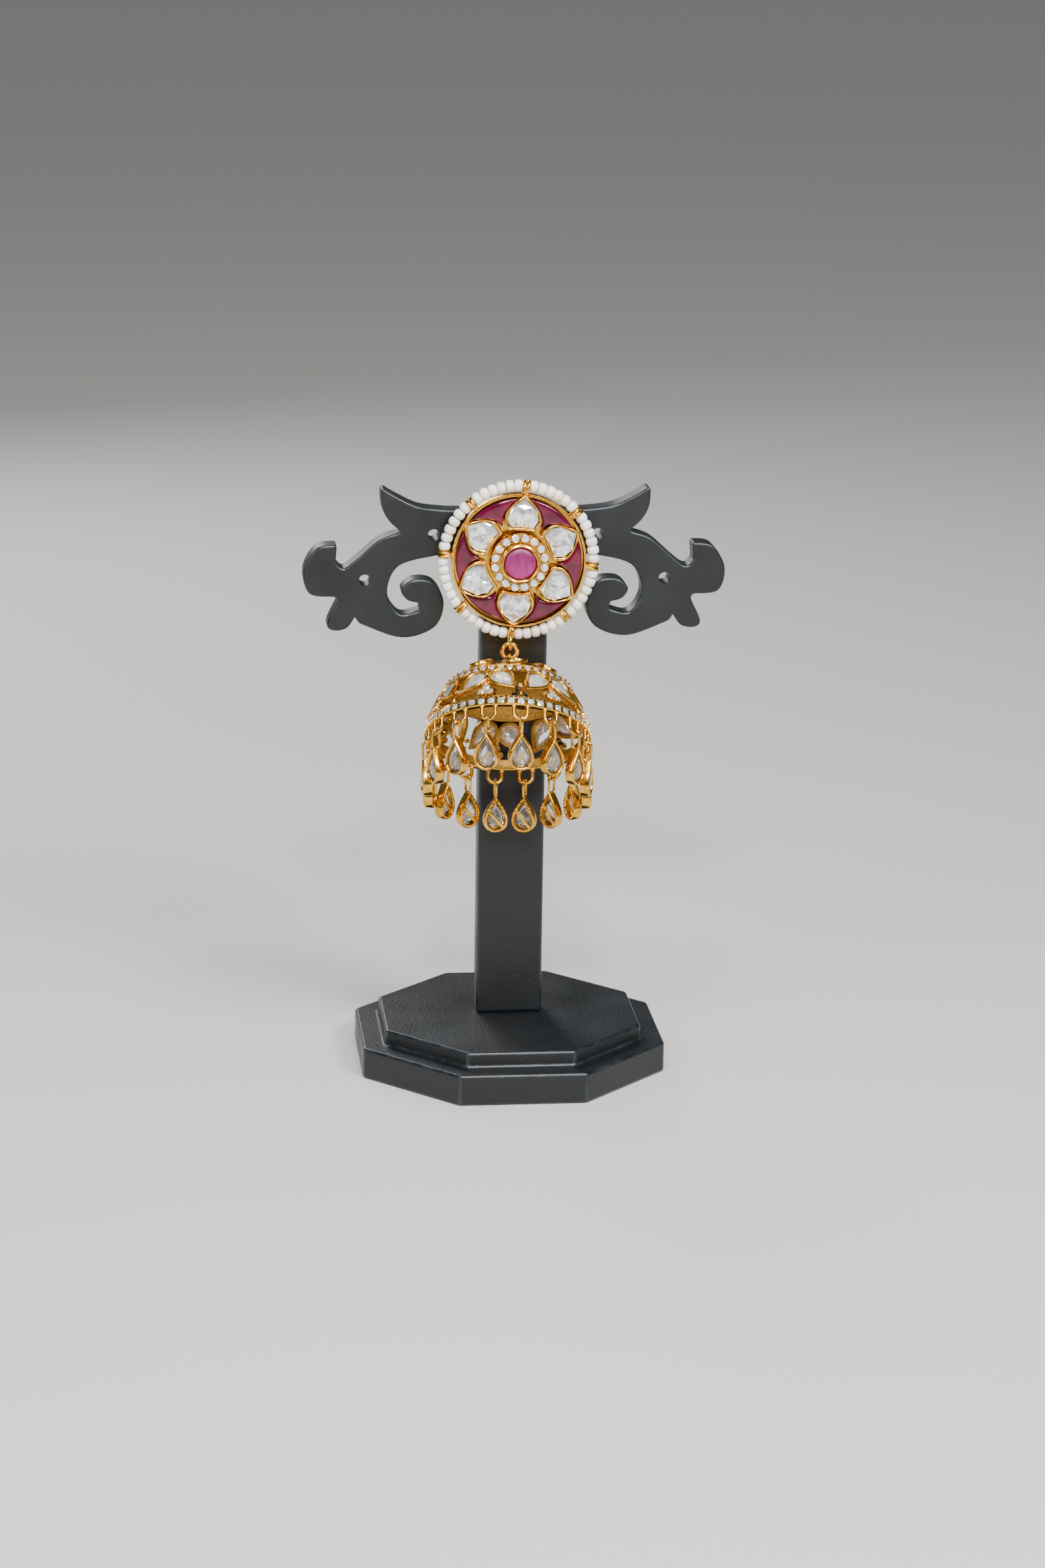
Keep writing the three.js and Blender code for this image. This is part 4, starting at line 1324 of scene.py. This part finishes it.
gem_model.data.transform(facing @ move(0, 0, 0.15))
gem_model.data.materials.append(clear_stone)

to_bell = bell_place.to_3x3()
up = Vector((0, 0, 1))
for i, hoop_place in enumerate(hoop_places):
    angle = math.radians(bell_angle(i, LOOPS))
    outward = to_bell @ Vector((math.sin(angle), -math.cos(angle), 0))
    middle = bell_place @ (hoop_place.translation * MM)
    along = outward.cross(up).normalized()
    downhill = outward.cross(along).normalized()
    downhill *= -math.copysign(1, downhill.z)
    hanging = middle + downhill * HOOP_RADIUS * MM
    drop_place = move(*hanging) @ Matrix.Rotation(math.atan2(outward.x, -outward.y), 4, "Z")
    metal = copied(drop_model, Matrix())
    metal.name = f"pear_drop_{i + 1}"
    settle(metal, drop_place)
    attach(metal, "bell")
    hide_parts(f"drop_{i + 1}")
    gem = copied(gem_model, Matrix())
    gem.name = f"pear_gem_{i + 1}"
    settle(gem, drop_place)
    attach(gem, "bell")
    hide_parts(f"drop_stone_{i + 1}")
bpy.data.objects.remove(drop_model)
bpy.data.objects.remove(gem_model)


# ---- Floor and lights ----
# A plain pale floor, and soft boxes in front, at each side and above.
FLOOR_SIZE = 14

paper, tree, place = new_material("pale paper floor")
output(tree, add(tree, "ShaderNodeBsdfPrincipled", Base_Color=colour("#c4c2bd"), Roughness=0.85))
fresh()
bpy.ops.mesh.primitive_plane_add(size=FLOOR_SIZE)
floor = bpy.context.object
floor.name = "floor"
floor.data.materials.append(paper)

world = bpy.data.worlds.new("soft room")
bpy.context.scene.world = world
world.use_nodes = True
world.node_tree.nodes["Background"].inputs["Color"].default_value = colour("#ccd1d5")
world.node_tree.nodes["Background"].inputs["Strength"].default_value = 0.2

TARGET = Vector((0, -0.005, 0.075))
SOFT_BOXES = (
    ("key", (0.32, -0.5, 0.5), 0.2, 5),
    ("sparkle", (-0.06, -0.5, 0.42), 0.05, 2.2),
    ("fill", (-0.5, -0.45, 0.35), 0.3, 1.8),
    ("top", (0.0, -0.25, 0.6), 0.22, 3),
    ("back", (-0.2, 0.5, 0.35), 0.3, 2),
)
for name, spot, size, power in SOFT_BOXES:
    bpy.ops.object.light_add(type="AREA", location=spot)
    light = bpy.context.object
    light.name = name
    light.data.size = size
    light.data.energy = power
    light.rotation_euler = (TARGET - Vector(spot)).to_track_quat("-Z", "Y").to_euler()
bpy.ops.object.light_add(type="SUN", rotation=(math.radians(40), 0, math.radians(25)))
sky = bpy.context.object
sky.name = "even_light"
sky.data.energy = 0.8
sky.data.angle = math.radians(70)
